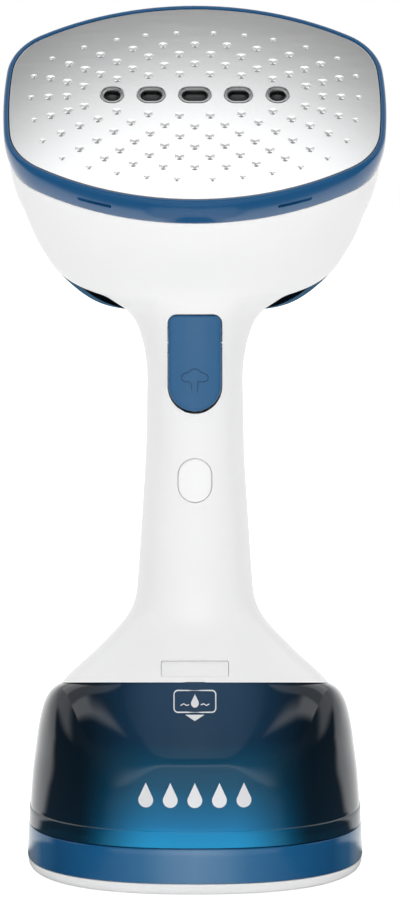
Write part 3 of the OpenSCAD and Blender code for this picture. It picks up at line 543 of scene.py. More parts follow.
def facet_box(name, x, y0, y1, z0, z1, r=0.0, n=5):
    """Rounded box in the sloping facet's frame."""
    a = math.radians(-35.9)
    R = Matrix.Rotation(a, 3, 'X')
    o = Vector((0, -27.5, 69.4))
    out = []
    for cx, cz, a0 in ((x - r, z0 + r, -90), (x - r, z1 - r, 0), (-x + r, z1 - r, 90), (-x + r, z0 + r, 180)):
        for i in range(n + 1):
            t = math.radians(a0 + 90 * i / n)
            out.append((cx + r * math.cos(t), cz + r * math.sin(t)))
    V = []
    for y in (y0, y1):
        for px, pz in out:
            V.append(tuple(o + R @ Vector((px, y, pz))))
    m = len(out)
    F = [tuple(range(m)), tuple(range(2 * m - 1, m - 1, -1))] + [(i, m + i, m + (i + 1) % m, (i + 1) % m) for i in range(m)]
    ob = new_obj(name, V, F, smooth=False)
    bm = bmesh.new(); bm.from_mesh(ob.data); bmesh.ops.recalc_face_normals(bm, faces=bm.faces[:]); bm.to_mesh(ob.data); bm.free()
    return ob


# ------------------------------------------------------------------ shells
front = half_shell("front_shell_smooth", FS, 2.2)
cut(front, [prism("c1", trig_outline(0.5, drop=0.4), -30, -12), prism("c2", oval_outline(5.6, 7.3), -30, -12), facet_box("c3", 11.0, -8, 12, -3.0, 3.0, 0.8)])
put(front, "white", "body", "white_shell", "front_shell")
rear = half_shell("rear_shell_smooth", RS, 2.2)


def cyl_between(name, p, q, r, n=32):
    p, q = Vector(p), Vector(q); d = (q - p).normalized()
    u = d.orthogonal().normalized(); w = d.cross(u)
    V = [tuple(c + (u * math.cos(t) + w * math.sin(t)) * r) for c in (p, q) for t in (2 * math.pi * i / n for i in range(n))]
    F = [tuple(range(n)), tuple(range(2 * n - 1, n - 1, -1))] + [(i, n + i, n + (i + 1) % n, (i + 1) % n) for i in range(n)]
    ob = new_obj(name, V, F, smooth=False)
    bm = bmesh.new(); bm.from_mesh(ob.data); bmesh.ops.recalc_face_normals(bm, faces=bm.faces[:]); bm.to_mesh(ob.data); bm.free()
    return ob


cut(rear, [cyl_between("s%d" % i, (sx * 10.2, 9.0, z), (sx * 10.2, 26, z), 2.3) for i, (sx, z) in enumerate(((1, 106.5), (-1, 106.5), (1, 171), (-1, 171)))])
put(rear, "white", "body", "white_shell", "rear_shell")
dome = half_shell("rear_cover_smooth", DS, 2.2)
put(dome, "navy", "body", "navy_cover", "head_rear_cover")

# ------------------------------------------------------------------ bezel
prof = [(-1.72, -1.2), (-1.7, -0.1), (-1.55, 0.22), (-1.2, 0.36), (-0.75, 0.30), (-0.35, 0.05), (-0.1, -0.4), (0.02, -1.0), (0.08, -2.0), (0.1, -3.4), (0.04, -5.0),
        (-0.12, -6.8), (-0.4, -8.6), (-0.66, -10.0), (-0.86, -10.75), (-1.1, -11.0), (-2.2, -11.0), (-3.4, -11.0), (-3.4, -7.0), (-3.4, -2.5), (-2.6, -2.5), (-1.74, -2.5)]
rings = []
for d, s in prof:
    rings.append([plate(x, v, s) for x, v in rim_loop(d)])
bezel = torus_loft("bezel_ring", rings, 60)


def clip_cutter(name, sx):
    # narrow slot lying in the band
    V = []
    out = []
    w, h, r = 5.6, 0.8, 0.7
    for cx, cz, a0 in ((w - r, -h + r, -90), (w - r, h - r, 0), (-w + r, h - r, 90), (-w + r, -h + r, 180)):
        for i in range(4):
            t = math.radians(a0 + 30 * i)
            out.append((cx + r * math.cos(t), cz + r * math.sin(t)))
    # local x runs along the outline, local z along the plate normal, y outwards
    cx, cy = 31.6 * sx, -37.6
    tang = np.array([math.cos(math.radians(13.5)), math.sin(math.radians(13.5)) * sx])
    nrm = np.array([math.sin(math.radians(13.5)) * sx, -math.cos(math.radians(13.5))])
    for y in (-1.6, 4.0):
        for px, pz in out:
            x = cx + tang[0] * px + nrm[0] * y
            v = cy + tang[1] * px + nrm[1] * y
            V.append(plate(x, v, -5.6 + pz))
    m = len(out)
    F = [tuple(range(m)), tuple(range(2 * m - 1, m - 1, -1))] + [(i, m + i, m + (i + 1) % m, (i + 1) % m) for i in range(m)]
    ob = new_obj(name, V, F, smooth=False)
    bm = bmesh.new(); bm.from_mesh(ob.data); bmesh.ops.recalc_face_normals(bm, faces=bm.faces[:]); bm.to_mesh(ob.data); bm.free()
    return ob


cut(bezel, [clip_cutter("k1", 1), clip_cutter("k2", -1)])
put(bezel, "blue", "body", "gloss_blue", "head_bezel")

# ------------------------------------------------------------------ soleplate
SLOT_X = [-26.4, -13.9, 0, 13.9, 26.4]
SLOT_W = [7.6, 9.2, 10.6, 9.2, 7.6]
SLOT_Y = 3.0


def slot_pts(x, w, h, n=14):
    out = []
    r = h / 2
    for s in (1, -1):
        for i in range(n + 1):
            a = -math.pi / 2 + math.pi * i / n + (0 if s > 0 else math.pi)
            out.append((x + s * (w / 2 - r) + r * math.cos(a), SLOT_Y + r * math.sin(a)))
    return out


def plate_layer(name, d, slots, z0, z1, bev):
    """Flat layer with slots, rounded at its top edges, from a filled 2D curve."""
    cu = bpy.data.curves.new(name, 'CURVE'); cu.dimensions = '2D'; cu.fill_mode = 'BOTH'
    t = (z1 - z0) / 2
    cu.extrude = (t - bev) * MM; cu.bevel_depth = bev * MM; cu.bevel_resolution = 2; cu.offset = -bev * MM
    for pts in [rim_loop(d)] + slots:
        sp = cu.splines.new('POLY'); sp.points.add(len(pts) - 1); sp.use_cyclic_u = True
        for i, (x, y) in enumerate(pts):
            sp.points[i].co = (x * MM, y * MM, 0, 1)
    ob = bpy.data.objects.new(name, cu); COL.objects.link(ob)
    dg = bpy.context.evaluated_depsgraph_get(); dg.update()
    me = bpy.data.meshes.new_from_object(ob.evaluated_get(dg), depsgraph=dg)
    bpy.data.objects.remove(ob, do_unlink=True)
    me.transform(Matrix.Translation((0, 0, (z0 + t) * MM)))
    return me


BUMPS = {
    1.0: [(6, 29.6), (16, 28.6), (25.3, 26.7), (35.8, 23.4), (45.9, 18.6), (51.6, 11.0), (52.2, 2.0), (51.0, -7.5), (48.0, -16.2), (41.7, -23.3), (33.2, -27.0), (24.3, -29.4), (15, -31.0), (5.6, -31.9)],
    1.45: [(0, 24.8), (10.3, 24.4), (20, 22.9), (30.4, 20.3), (40.4, 16.3), (46.2, 10.2), (46.6, 2.3), (45.7, -5.7), (42.3, -13), (36.3, -19.4), (28.4, -23.3), (19.3, -25.5), (9.9, -26.7), (0, -26.9)],
    1.55: [(5.1, 20.6), (14.9, 19.5), (25.1, 17.3), (35.2, 14.1), (40.8, 8.6), (40.8, 2.6), (40.3, -3.5), (36.5, -9.8), (30.9, -15.8), (23.6, -19.9), (14.3, -21.8), (4.8, -22.6)],
    1.57: [(0, 16.5), (9.8, 15.8), (20, 14.3), (30.2, 12.0), (35.5, 6.9), (35.1, -1.6), (30.7, -7.0), (25.6, -12.1), (19, -16.2), (9.5, -18.0), (0, -18.4)],
    1.5: [(4.9, 12.0), (14.9, 11.4), (24.9, 9.9), (24.8, -3.8), (20.2, -8.4), (14.1, -12.9), (4.7, -14.1), (14.8, -4.9), (4.9, -5.5), (9.5, -9.4), (0, -10.0)]}


def bump_mesh(bm, x, y, r):
    """Rounded three-sided pip: a long facet faces up the plate, two short ones face down to each side."""
    n = 36
    ya = -0.30 * r; L1 = 1.15 * r; L2 = 0.80 * r; H = 0.36 * r
    rows = []
    qs = (1.0, 0.94, 0.86, 0.74, 0.58, 0.40, 0.20)
    for q in qs:
        row = []
        for i in range(n):
            a = -math.pi / 2 + 2 * math.pi * i / n
            ca, sa = math.cos(a), math.sin(a)
            m = max(sa / L1, (0.866 * ca - 0.5 * sa) / L2, (-0.866 * ca - 0.5 * sa) / L2)
            b = ya * sa
            t = -b + math.sqrt(max(0.0, b * b - ya * ya + r * r))
            R = 1.0 / (m ** 6 + (1.0 / t) ** 6) ** (1 / 6.0)
            rr = R * q
            h = H * max(0.0, 1 - m * rr) * (1 - q ** 7)
            if q == 1.0:
                h = -0.06
            row.append(bm.verts.new(((x + rr * ca) * MM, (y + ya + rr * sa) * MM, h * MM)))
        rows.append(row)
    for k in range(len(rows) - 1):
        for i in range(n):
            bm.faces.new((rows[k][i], rows[k][(i + 1) % n], rows[k + 1][(i + 1) % n], rows[k + 1][i]))
    bm.faces.new(rows[0][::-1])
    top = bm.verts.new((x * MM, (y + ya) * MM, H * 0.97 * MM))
    for i in range(n):
        bm.faces.new((rows[-1][i], rows[-1][(i + 1) % n], top))


def slot_throat(bm, x, w, h, n=14):
    """Sloping steam throat under a slot, open at its foot."""
    def loop(ww, hh, z, dy=0.0):
        r = hh / 2
        out = []
        for s in (1, -1):
            for i in range(n + 1):
                a = -math.pi / 2 + math.pi * i / n + (0 if s > 0 else math.pi)
                out.append(bm.verts.new(((x + s * (ww / 2 - r) + r * math.cos(a)) * MM, (SLOT_Y + dy + r * math.sin(a)) * MM, z * MM)))
        return out
    L = [loop(w - 0.1, h - 0.1, -2.35), loop(w - 1.0, h - 0.9, -3.0), loop(w - 2.6, h - 2.4, -3.9), loop(w - 3.2, h - 3.1, -4.6), loop(w - 2.8, h - 2.7, -4.6), loop(w - 2.2, h - 2.0, -4.0), loop(w - 0.6, h - 0.5, -3.1), loop(w + 0.1 - 0.1, h + 0.1 - 0.1, -2.38)]
    m = len(L[0])
    for k in range(len(L)):
        A, B = L[k], L[(k + 1) % len(L)]
        for i in range(m):
            bm.faces.new((A[i], A[(i + 1) % m], B[(i + 1) % m], B[i]))


bm = bmesh.new()
for me in (plate_layer("pl1", -1.9, [slot_pts(SLOT_X[i], SLOT_W[i], 7.0) for i in range(5)], -2.4, 0.0, 0.22),):
    bm.from_mesh(me); bpy.data.meshes.remove(me)
for r, pts in BUMPS.items():
    for (x, y) in pts:
        for s in ((1,) if x == 0 else (1, -1)):
            bump_mesh(bm, x * s, y, r * 1.08)
me = bpy.data.meshes.new("soleplate_pips")
bm.to_mesh(me); bm.free()
Rm = Matrix(((1, 0, 0, 0), (0, PT[1], PN[1], 0), (0, PT[2], PN[2], 0), (0, 0, 0, 1)))
me.transform(Matrix.Translation(Vector(PC) * MM) @ Rm)
sole = bpy.data.objects.new("soleplate_pips", me); COL.objects.link(sole)
sharpen(sole, 19)
put(sole, "plate", "body", "brushed_plate", "soleplate")



def slot_rim(bm, x, w, n=16):
    """Stepped collar set in a slot: outer land, bead, inner land and a drop to the throat."""
    def loop(ww, hh, z, dy):
        r = hh / 2
        return [bm.verts.new(((x + sg * (ww / 2 - r) + r * math.cos(a)) * MM, (SLOT_Y + dy + r * math.sin(a)) * MM, z * MM))
                for sg in (1, -1) for a in [-math.pi / 2 + math.pi * i / n + (0 if sg > 0 else math.pi) for i in range(n + 1)]]
    prof = [(0.06, -2.3, 0), (0.06, -0.5, 0), (-0.10, -0.34, 0), (-0.75, -0.30, 0.02), (-0.95, -0.20, 0.04), (-1.25, -0.20, 0.06), (-1.45, -0.34, 0.08), (-2.2, -0.42, 0.12), (-2.5, -0.62, 0.14), (-2.62, -1.0, 0.14), (-2.62, -2.3, 0.14)]
    L = [loop(w + g, 7.0 + g, z, dy) for g, z, dy in prof]
    m = len(L[0])
    for k in range(len(L)):
        A, B = L[k], L[(k + 1) % len(L)]
        for i in range(m):
            bm.faces.new((A[i], A[(i + 1) % m], B[(i + 1) % m], B[i]))


bm = bmesh.new()
for i in range(5):
    slot_rim(bm, SLOT_X[i], SLOT_W[i])
me = bpy.data.meshes.new("slot_collars"); bm.to_mesh(me); bm.free()
me.transform(Matrix.Translation(Vector(PC) * MM) @ Rm)
collars = bpy.data.objects.new("slot_collars", me); COL.objects.link(collars)
sharpen(collars, 38)
put(collars, "collar", "body", "brushed_plate")

bm = bmesh.new()
for i in range(5):
    slot_throat(bm, SLOT_X[i], SLOT_W[i] - 2.7, 4.4)
me = bpy.data.meshes.new("slot_throats"); bm.to_mesh(me); bm.free()
me.transform(Matrix.Translation(Vector(PC) * MM) @ Rm)
throats = bpy.data.objects.new("slot_throats", me); COL.objects.link(throats)
sharpen(throats, 40)
put(throats, "throat", "body", "cast_aluminium")

# ------------------------------------------------------------------ trigger
def trig_y(x, z):
    return -21.4 + 0.0125 * x * x + 0.0009 * max(0.0, z - 172) ** 2


def trig_edge(x, z):
    """Distance in from the trigger's outline."""
    if z < 160.85:
        return 8.55 - math.hypot(x, z - 160.85)
    dx, dz = abs(x) - 5.95, z - 180.8
    if dx > 0 and dz > 0:
        return 2.6 - math.hypot(dx, dz)
    return min(8.55 - abs(x), 183.4 - z)


def trig_width(z):
    if z < 160.85:
        return math.sqrt(max(0.0, 8.55 ** 2 - (z - 160.85) ** 2))
    if z > 180.8:
        return 5.95 + math.sqrt(max(0.0, 2.6 ** 2 - (z - 180.8) ** 2))
    return 8.55


def trigger():
    """Finger pad as a fine grid with rounded-over edges, and its lever behind."""
    r = 0.85
    a = [152.3 + (8.55) * (1 - math.cos(math.pi / 2 * i / 18)) for i in range(18)]
    b = [160.85 + (180.8 - 160.85) * i / 24 for i in range(24)]
    c = [180.8 + 2.6 * math.sin(math.pi / 2 * i / 12) for i in range(13)]
    zs = a + b + c
    us = [math.sin(math.pi / 2 * (-1 + 2 * i / 36)) for i in range(37)]
    rows = []
    for z in zs:
        w = max(trig_width(z), 0.02)
        row = []
        for u in us:
            x = u * w
            d = max(0.0, trig_edge(x, z))
            lift = r - math.sqrt(max(0.0, r * r - (r - d) ** 2)) if d < r else 0.0
            row.append((x, trig_y(x, z) + lift, z))
        rows.append(row)
    K, N = len(rows), len(rows[0])
    V = [p for row in rows for p in row]
    F = [(k * N + j, k * N + j + 1, (k + 1) * N + j + 1, (k + 1) * N + j) for k in range(K - 1) for j in range(N - 1)]
    # boundary loop, carried straight back
    loop = [j for j in range(N)] + [k * N + N - 1 for k in range(1, K)] + [(K - 1) * N + j for j in range(N - 2, -1, -1)] + [k * N for k in range(K - 2, 0, -1)]
    base = len(V)
    for i in loop:
        V.append((V[i][0], -17.0, V[i][2]))
    m = len(loop)
    for i in range(m):
        F.append((loop[i], base + i, base + (i + 1) % m, loop[(i + 1) % m]))
    F.append(tuple(base + i for i in range(m)))
    ob = new_obj("steam_trigger_cap", V, F)
    bm = bmesh.new(); bm.from_mesh(ob.data)
    bmesh.ops.remove_doubles(bm, verts=bm.verts[:], dist=2e-5)
    bmesh.ops.dissolve_degenerate(bm, edges=bm.edges[:], dist=1e-6)
    for (x0, x1, y0, y1, z0, z1) in ((-5.4, 5.4, -17.5, -10.9, 175.0, 180.6), (-3, 3, -17, -11.4, 157, 163)):
        vs = [bm.verts.new((x * MM, y * MM, z * MM)) for x in (x0, x1) for y in (y0, y1) for z in (z0, z1)]
        for f in ((0, 1, 3, 2), (4, 6, 7, 5), (0, 4, 5, 1), (2, 3, 7, 6), (0, 2, 6, 4), (1, 5, 7, 3)):
            bm.faces.new([vs[i] for i in f])
    bm.to_mesh(ob.data); bm.free()
    return sharpen(ob, 40)


trig = trigger()
put(trig, "trig", "trigger", "gloss_blue", "steam_trigger")


def ribbon(name, pts, w, h, surf, closed=False):
    """Raised line of width w and height h laid on a surface given by surf(x, z) -> y."""
    P = [np.array(p, float) for p in pts]
    n = len(P)
    V, F = [], []
    for i in range(n):
        a = P[i - 1] if (i > 0 or closed) else P[i]
        b = P[(i + 1) % n] if (i < n - 1 or closed) else P[i]
        t = b - a; t = t / (np.linalg.norm(t) + 1e-9)
        q = np.array([-t[1], t[0]])
        for off, up in ((-w / 2, -0.06), (-w / 2 * 0.8, h * 0.8), (0, h), (w / 2 * 0.8, h * 0.8), (w / 2, -0.06)):
            c = P[i] + q * off
            V.append((c[0], surf(c[0], c[1]) - up, c[1]))
    m = 5
    for i in range(n if closed else n - 1):
        j = (i + 1) % n
        for k in range(m):
            F.append((i * m + k, j * m + k, j * m + (k + 1) % m, i * m + (k + 1) % m))
    if not closed:
        F.append(tuple(range(m))[::-1]); F.append(tuple((n - 1) * m + k for k in range(m)))
    ob = new_obj(name, V, F)
    return sharpen(ob, 60)


def arc(cx, cz, r, a0, a1, n=10):
    return [(cx + r * math.cos(math.radians(a0 + (a1 - a0) * i / n)), cz + r * math.sin(math.radians(a0 + (a1 - a0) * i / n))) for i in range(n + 1)]


def join(name, obs):
    bm = bmesh.new()
    for o in obs:
        bm.from_mesh(o.data)
    me = bpy.data.meshes.new(name); bm.to_mesh(me); bm.free()
    ob = bpy.data.objects.new(name, me); COL.objects.link(ob)
    for o in obs:
        bpy.data.objects.remove(o, do_unlink=True)
    return ob


cloud = [(-1.45, 161.9)] + arc(-2.95, 163.25, 1.35, 275, 112) + arc(0.0, 163.75, 2.3, 148, 32) + arc(2.95, 163.25, 1.35, 68, -95) + [(1.45, 161.9)]
icon = [ribbon("i1", cloud, 0.42, 0.14, trig_y),
        ribbon("i2", [(-1.1, 161.5), (-1.05, 160.4), (-1.05, 159.2)], 0.4, 0.14, trig_y),
        ribbon("i3", [(0.95, 162.4), (0.95, 160.6), (0.75, 158.3)], 0.4, 0.14, trig_y)]
icon = join("steam_mark", icon)
put(icon, "trig_dark", "trigger", "gloss_blue")

# ------------------------------------------------------------------ power button
def button():
    rows = []
    for c, dy in ((0.0, 3.2), (0.0, 0.55), (-0.12, 0.25), (-0.4, 0.08), (-0.9, 0.0), (-2.2, -0.03), (-3.8, -0.05)):
        o = oval_outline(5.47 + c, 7.17 + c)
        rows.append([(x, (-19.38 + 0.0185 * x * x + dy) if dy < 2 else -16.2, z) for x, z in o])
    N = len(rows[0]); K = len(rows)
    V = [p for r in rows for p in r]
    F = [(k * N + j, (k + 1) * N + j, (k + 1) * N + (j + 1) % N, k * N + (j + 1) % N) for k in range(K - 1) for j in range(N)]
    F.append(tuple(range(N))); F.append(tuple((K - 1) * N + i for i in range(N))[::-1])
    ob = new_obj("power_button_cap", V, F)
    st = cyl_between("stem", (0, -16.4, 129.7), (0, -11.2, 129.7), 1.5)
    ob2 = join("power_button_cap2", [ob, st])
    bmx = bmesh.new(); bmx.from_mesh(ob2.data); bmesh.ops.remove_doubles(bmx, verts=bmx.verts[:], dist=1e-6); bmx.to_mesh(ob2.data); bmx.free()
    ob2.name = "power_button_smooth"
    return sharpen(ob2, 45)


pb = button()
put(pb, "white_btn", "button", "white_button", "power_button")

# ------------------------------------------------------------------ release tab
tab = facet_box("release_tab_face", 10.9, 0.15, 1.05, -2.9, 2.9, 0.75, 6)
bevel(tab, 0.25, 3, 40)
tab = join("release_tab_smooth", [tab, facet_box("release_tab_back", 10.5, 0.8, 2.5, -2.5, 2.5, 0.5, 4)])
legs = []
for sx in (1, -1):
    cx = sx * 6.4
    legs.append(((cx - 0.9, -26.0, 66.7), (cx + 0.9, -16.8, 68.7)))
legs.append(((-7.3, -17.8, 66.7), (7.3, -16.2, 68.7)))
bm = bmesh.new(); bm.from_mesh(tab.data)
for lo, hi in legs:
    vs = [bm.verts.new((x * MM, y * MM, z * MM)) for x in (lo[0], hi[0]) for y in (lo[1], hi[1]) for z in (lo[2], hi[2])]
    for f in ((0, 1, 3, 2), (4, 6, 7, 5), (0, 4, 5, 1), (2, 3, 7, 6), (0, 2, 6, 4), (1, 5, 7, 3)):
        bm.faces.new([vs[i] for i in f])
bm.to_mesh(tab.data); bm.free()
sharpen(tab, 40)
put(tab, "white", "latch", "white_shell", "release_button")

# ------------------------------------------------------------------ water tank
FP = np.array([0, -30.3, 65.5]); FD = np.array([0, -0.7234, -1.0]); FD = FD / np.linalg.norm(FD)
FNRM = np.array([0, FD[2], -FD[1]])          # outward normal of the sloping facet
if FNRM[1] > 0:
    FNRM = -FNRM


FACE_R = 200.0
NT = 320
_tphi = -np.arange(NT) * 2 * math.pi / NT


def tank_ring(z0, k, a, ff, bb, n, t=0.0):
    """Base section whose front gives way to the sloping face, sharply low down in the middle and softly at the sides."""
    c, s = np.abs(np.cos(_tphi)), np.abs(np.sin(_tphi))
    r = (c ** n + s ** n) ** (-1.0 / n)
    x = (a - t) * r * np.cos(_tphi)
    y0 = np.where(np.sin(_tphi) < 0, ff - t, bb - t) * r * np.sin(_tphi)
    yp = (-30.3 + 1.23 * t - 0.7234 * (65.5 - z0)) / (1 + 0.7234 * k) + x * x / (2 * FACE_R)
    u = np.clip((np.abs(x) - 9.0) / 24.0, 0, 1)
    kk = 0.75 + 11.0 * u * u * (3 - 2 * u)
    h = np.clip(kk - np.abs(y0 - yp), 0, None) / kk
    y = np.where(y0 < 0, np.maximum(y0, yp) + h * h * kk / 4, y0)
    return np.stack([x, y, z0 - k * y], 1)


def puck(name, off, z_top, z_bot, lip=0.0):
    D = densify(TS, 0.7, keys=(0, 2, 3), sigma=1.5)
    rings = []
    for s in D:
        z0, k, a, ff, bb, n = s
        if lip and z0 < 21.3:
            continue
        rings.append(tank_ring(z0 - z_top * min(1, max(0, (z0 - 40) / 20.5)) + z_bot * min(1, max(0, (28 - z0) / 12.7)), k, a, ff, bb, n, off))
    if lip:
        # a slightly proud lip round the foot of the tank
        a, ff, bb = 54.62, 49.05, 49.95
        for z, g in ((20.95, 0.0), (20.78, 0.02), (20.70, 0.12), (20.62, lip * 0.85), (20.45, lip)):
            rings.append(tank_ring(z, 0, a + g, ff + g, bb + g, 2.36))
        for z in (19.0, 17.5, 16.0):
            rings.append(tank_ring(z, 0, a + lip + (20.45 - z) * 0.03, ff + lip + (20.45 - z) * 0.03, bb + lip * 0.6 + (20.45 - z) * 0.02, 2.355))
        for z, g in ((15.6, 0.0), (15.42, 0.1), (15.32, 0.3)):
            rings.append(tank_ring(z, 0, a + lip + 0.14 - g, ff + lip + 0.14 - g, bb + lip * 0.6 + 0.1 - g, 2.355))
    return loft_closed(name, rings, sharp=60)


outer = puck("tank_outer", 0.0, 0.0, 0.0, lip=0.38)
inner = puck("tank_inner", 2.4, 2.3, 2.2)
bmi = bmesh.new(); bmi.from_mesh(inner.data); bmesh.ops.reverse_faces(bmi, faces=bmi.faces[:]); bmi.to_mesh(inner.data); bmi.free()
tank = join("tank_shell", [outer, inner])
for p in tank.data.polygons:
    p.use_smooth = True
bmt = bmesh.new(); bmt.from_mesh(tank.data)
for e in bmt.edges:
    e.smooth = not (len(e.link_faces) == 2 and e.calc_face_angle(0.0) > math.radians(60))
bmt.to_mesh(tank.data); bmt.free()
put(tank, "tank", "tank", "tank_blue", "water_tank")


# ------------------------------------------------------------------ base ring and foot
def R(z, a, ff, bb, t=0.0):
    return base_ring(z, 0, a, ff, bb, 2.35, t)


ring = torus_loft("base_ring_smooth", [R(15.1, 55.0, 49.5, 50.0, 0.9), R(15.1, 55.05, 49.55, 50.05, 0.45), R(14.95, 55.15, 49.65, 50.15, 0.12), R(14.6, 55.2, 49.7, 50.2, 0.0), R(11.0, 55.4, 49.8, 50.3), R(7.0, 55.6, 49.95, 50.42),
    R(4.5, 55.7, 50.0, 50.5), R(4.1, 55.68, 49.98, 50.48, 0.12), R(3.95, 55.6, 49.9, 50.4, 0.4), R(3.95, 53.2, 47.6, 48.1), R(15.1, 53.0, 47.5, 48.0)], 40)
put(ring, "ring", "tank", "gloss_blue", "tank_base_ring")
foot_rows = [R(3.9, 55.2, 49.5, 50.0, 0.3), R(3.78, 55.45, 49.75, 50.25, 0.05), R(3.4, 55.5, 49.8, 50.3), R(2.4, 55.42, 49.7, 50.2), R(1.6, 55.15, 49.45, 49.95), R(1.0, 54.75, 49.05, 49.55), R(0.5, 54.1, 48.45, 48.95), R(0.15, 53.3, 47.75, 48.2), R(0.0, 52.5, 47.0, 47.5)]
foot = loft_closed("foot_smooth", foot_rows, sharp=40)
put(foot, "white", "tank", "white_shell", "base_foot")

# ------------------------------------------------------------------ prints on the tank
def on_facet(x, z):
    return FP[1] - (FP[2] - z) * 0.7234 + x * x / (2 * FACE_R)


def front_y(x, z):
    D = densify(TS, 1.0, keys=(0, 2, 3), sigma=1.2) if not hasattr(front_y, "d") else front_y.d
    front_y.d = D
    zz = D[::-1, 0]
    a = np.interp(z, zz, D[::-1, 2]); ff = np.interp(z, zz, D[::-1, 3]); n = np.interp(z, zz, D[::-1, 5])
    return -ff * (1 - min(0.99, abs(x) / a) ** n) ** (1 / n)


def rounded_rect(cx, cz, w, h, r, n=6):
    out = []
    for x, z, a0 in ((cx + w - r, cz - h + r, -90), (cx + w - r, cz + h - r, 0), (cx - w + r, cz + h - r, 90), (cx - w + r, cz - h + r, 180)):
        out += [(x + r * math.cos(math.radians(a0 + 90 * i / n)), z + r * math.sin(math.radians(a0 + 90 * i / n))) for i in range(n + 1)]
    return out


def patch(name, outline, surf, h=0.07):
    """Thin raised filled shape."""
    n = len(outline)
    V = [(x, surf(x, z) - h, z) for x, z in outline] + [(x, surf(x, z) + 0.05, z) for x, z in outline]
    F = [tuple(range(n)), tuple(range(2 * n - 1, n - 1, -1))] + [(i, n + i, n + (i + 1) % n, (i + 1) % n) for i in range(n)]
    return sharpen(new_obj(name, V, F), 40)


zc = 60.0
marks = [ribbon("m1", rounded_rect(0, zc, 6.7, 3.15, 1.2), 0.42, 0.08, on_facet, closed=True)]
drop = [(0, zc + 2.1)] + [(1.25 * math.cos(math.radians(a)), zc - 0.55 + 1.25 * math.sin(math.radians(a))) for a in range(28, -209, -14)]
marks.append(patch("m2", drop, on_facet))
marks.append(ribbon("m3", [(-4.6, zc - 1.2), (-3.6, zc - 0.7), (-2.6, zc - 1.2), (-1.9, zc - 0.95)], 0.35, 0.08, on_facet))
marks.append(ribbon("m4", [(1.9, zc - 1.0), (2.8, zc - 0.7), (3.7, zc - 1.2), (4.6, zc - 0.75)], 0.35, 0.08, on_facet))
marks.append(patch("m5", [(-3.1, 56.15), (3.1, 56.15), (0, 54.35)], on_facet))
marks = join("fill_mark", marks)
put(marks, "silver", "tank", "tank_blue")

wav = []
for k, x0 in enumerate((-15.6, -7.8, 0.0, 7.8, 15.6)):
    drop = [(x0, 36.1)] + [(x0 + 2.35 * math.cos(math.radians(a)), 30.6 + 2.35 * math.sin(math.radians(a))) for a in range(26, -207, -13)]
    wav.append(patch("w%d" % k, drop, lambda x, z: front_y(x, z), 0.12))
badge = join("silver_drops", wav)
put(badge, "silver", "tank", "tank_blue")

# ------------------------------------------------------------------ materials of the CAD nodes that stay
KEEP = {"trigger_pin": "steel", "trigger_spring": "steel", "microswitch": "black", "microswitch_plunger": "red", "tact_switch": "black", "control_board": "board", "board_led": "led",
        "steam_chamber": "alu", "chamber_gasket": "silicone", "chamber_cover": "alu", "heating_element": "sheath", "heat_shield": "black", "thermostat": "ceramic", "thermal_fuse": "ceramic",
        "steam_inlet": "brass", "delivery_hose": "hose", "check_valve": "pale", "pump_body": "black", "pump_coil": "copper", "pump_mounts": "rubber", "pump_outlet": "pale", "suction_hose": "hose",
        "tank_coupling": "grey", "coupling_seal": "rubber", "rubber_feet": "rubber", "tank_neck_strainer": "pale", "tank_pickup_tube": "pale", "filler_cap": "blue", "cap_pin": "steel", "filler_seal": "rubber",
        "release_spring": "steel", "cord_gland": "rubber", "cord_clamp": "pale", "terminal_block": "pale", "shell_screws": "steel", "chamber_screws": "steel", "board_screws": "steel"}
for node, key in KEEP.items():
    ob = frame["nodes"][node] if isinstance(frame["nodes"], dict) and not isinstance(frame["nodes"][node], (str, list)) else bpy.data.objects.get(node)
    ob = ob or bpy.data.objects.get(node)
    if ob.material_slots:
        for s in ob.material_slots:
            s.material = M[key]
    else:
        ob.data.materials.append(M[key])

# ------------------------------------------------------------------ stage, light, camera
def plane(name, c, sx, sy, rot=(0, 0, 0)):
    me = bpy.data.meshes.new(name)
    me.from_pydata([(-sx / 2, -sy / 2, 0), (sx / 2, -sy / 2, 0), (sx / 2, sy / 2, 0), (-sx / 2, sy / 2, 0)], [], [(0, 1, 2, 3)])
    ob = bpy.data.objects.new(name, me); ob.location = c; ob.rotation_euler = rot
    COL.objects.link(ob)
    return ob


# share of brightness by direction, for the low surroundings and for what lies at floor level
AZ0 = [(0.0, 0.62), (0.30, 0.60), (0.40, 0.04), (0.83, 0.03), (0.90, 0.16), (1.0, 0.26)]
AZ = [(0.0, 0.62), (0.30, 0.60), (0.40, 0.04), (0.83, 0.03), (0.90, 0.50), (1.0, 0.58)]


def ramp_node(N, L, fac, stops, interp='EASE'):
    n = N.new("ShaderNodeValToRGB"); n.color_ramp.interpolation = interp
    e = n.color_ramp.elements
    e[0].position = stops[0][0]; e[0].color = (stops[0][1],) * 3 + (1,)
    e[1].position = stops[-1][0]; e[1].color = (stops[-1][1],) * 3 + (1,)
    for p, v in stops[1:-1]:
        x = e.new(p); x.color = (v, v, v, 1)
    L.new(fac, n.inputs[0])
    return n.outputs[0]


def math_node(N, L, op, *args, clamp=False):
    n = N.new("ShaderNodeMath"); n.operation = op; n.use_clamp = clamp
    for i, v in enumerate(args):
        if isinstance(v, (int, float)):
            n.inputs[i].default_value = v
        else:
            L.new(v, n.inputs[i])
    return n.outputs[0]


def azimuth_share(N, L, X, Y):
    """1 in front of the object, 0 behind it."""
    h = math_node(N, L, 'SQRT', math_node(N, L, 'ADD', math_node(N, L, 'MULTIPLY', X, X), math_node(N, L, 'ADD', math_node(N, L, 'MULTIPLY', Y, Y), 1e-6)))
    c = math_node(N, L, 'DIVIDE', math_node(N, L, 'MULTIPLY', Y, -1.0), h)
    return math_node(N, L, 'MULTIPLY_ADD', c, 0.5, 0.5)


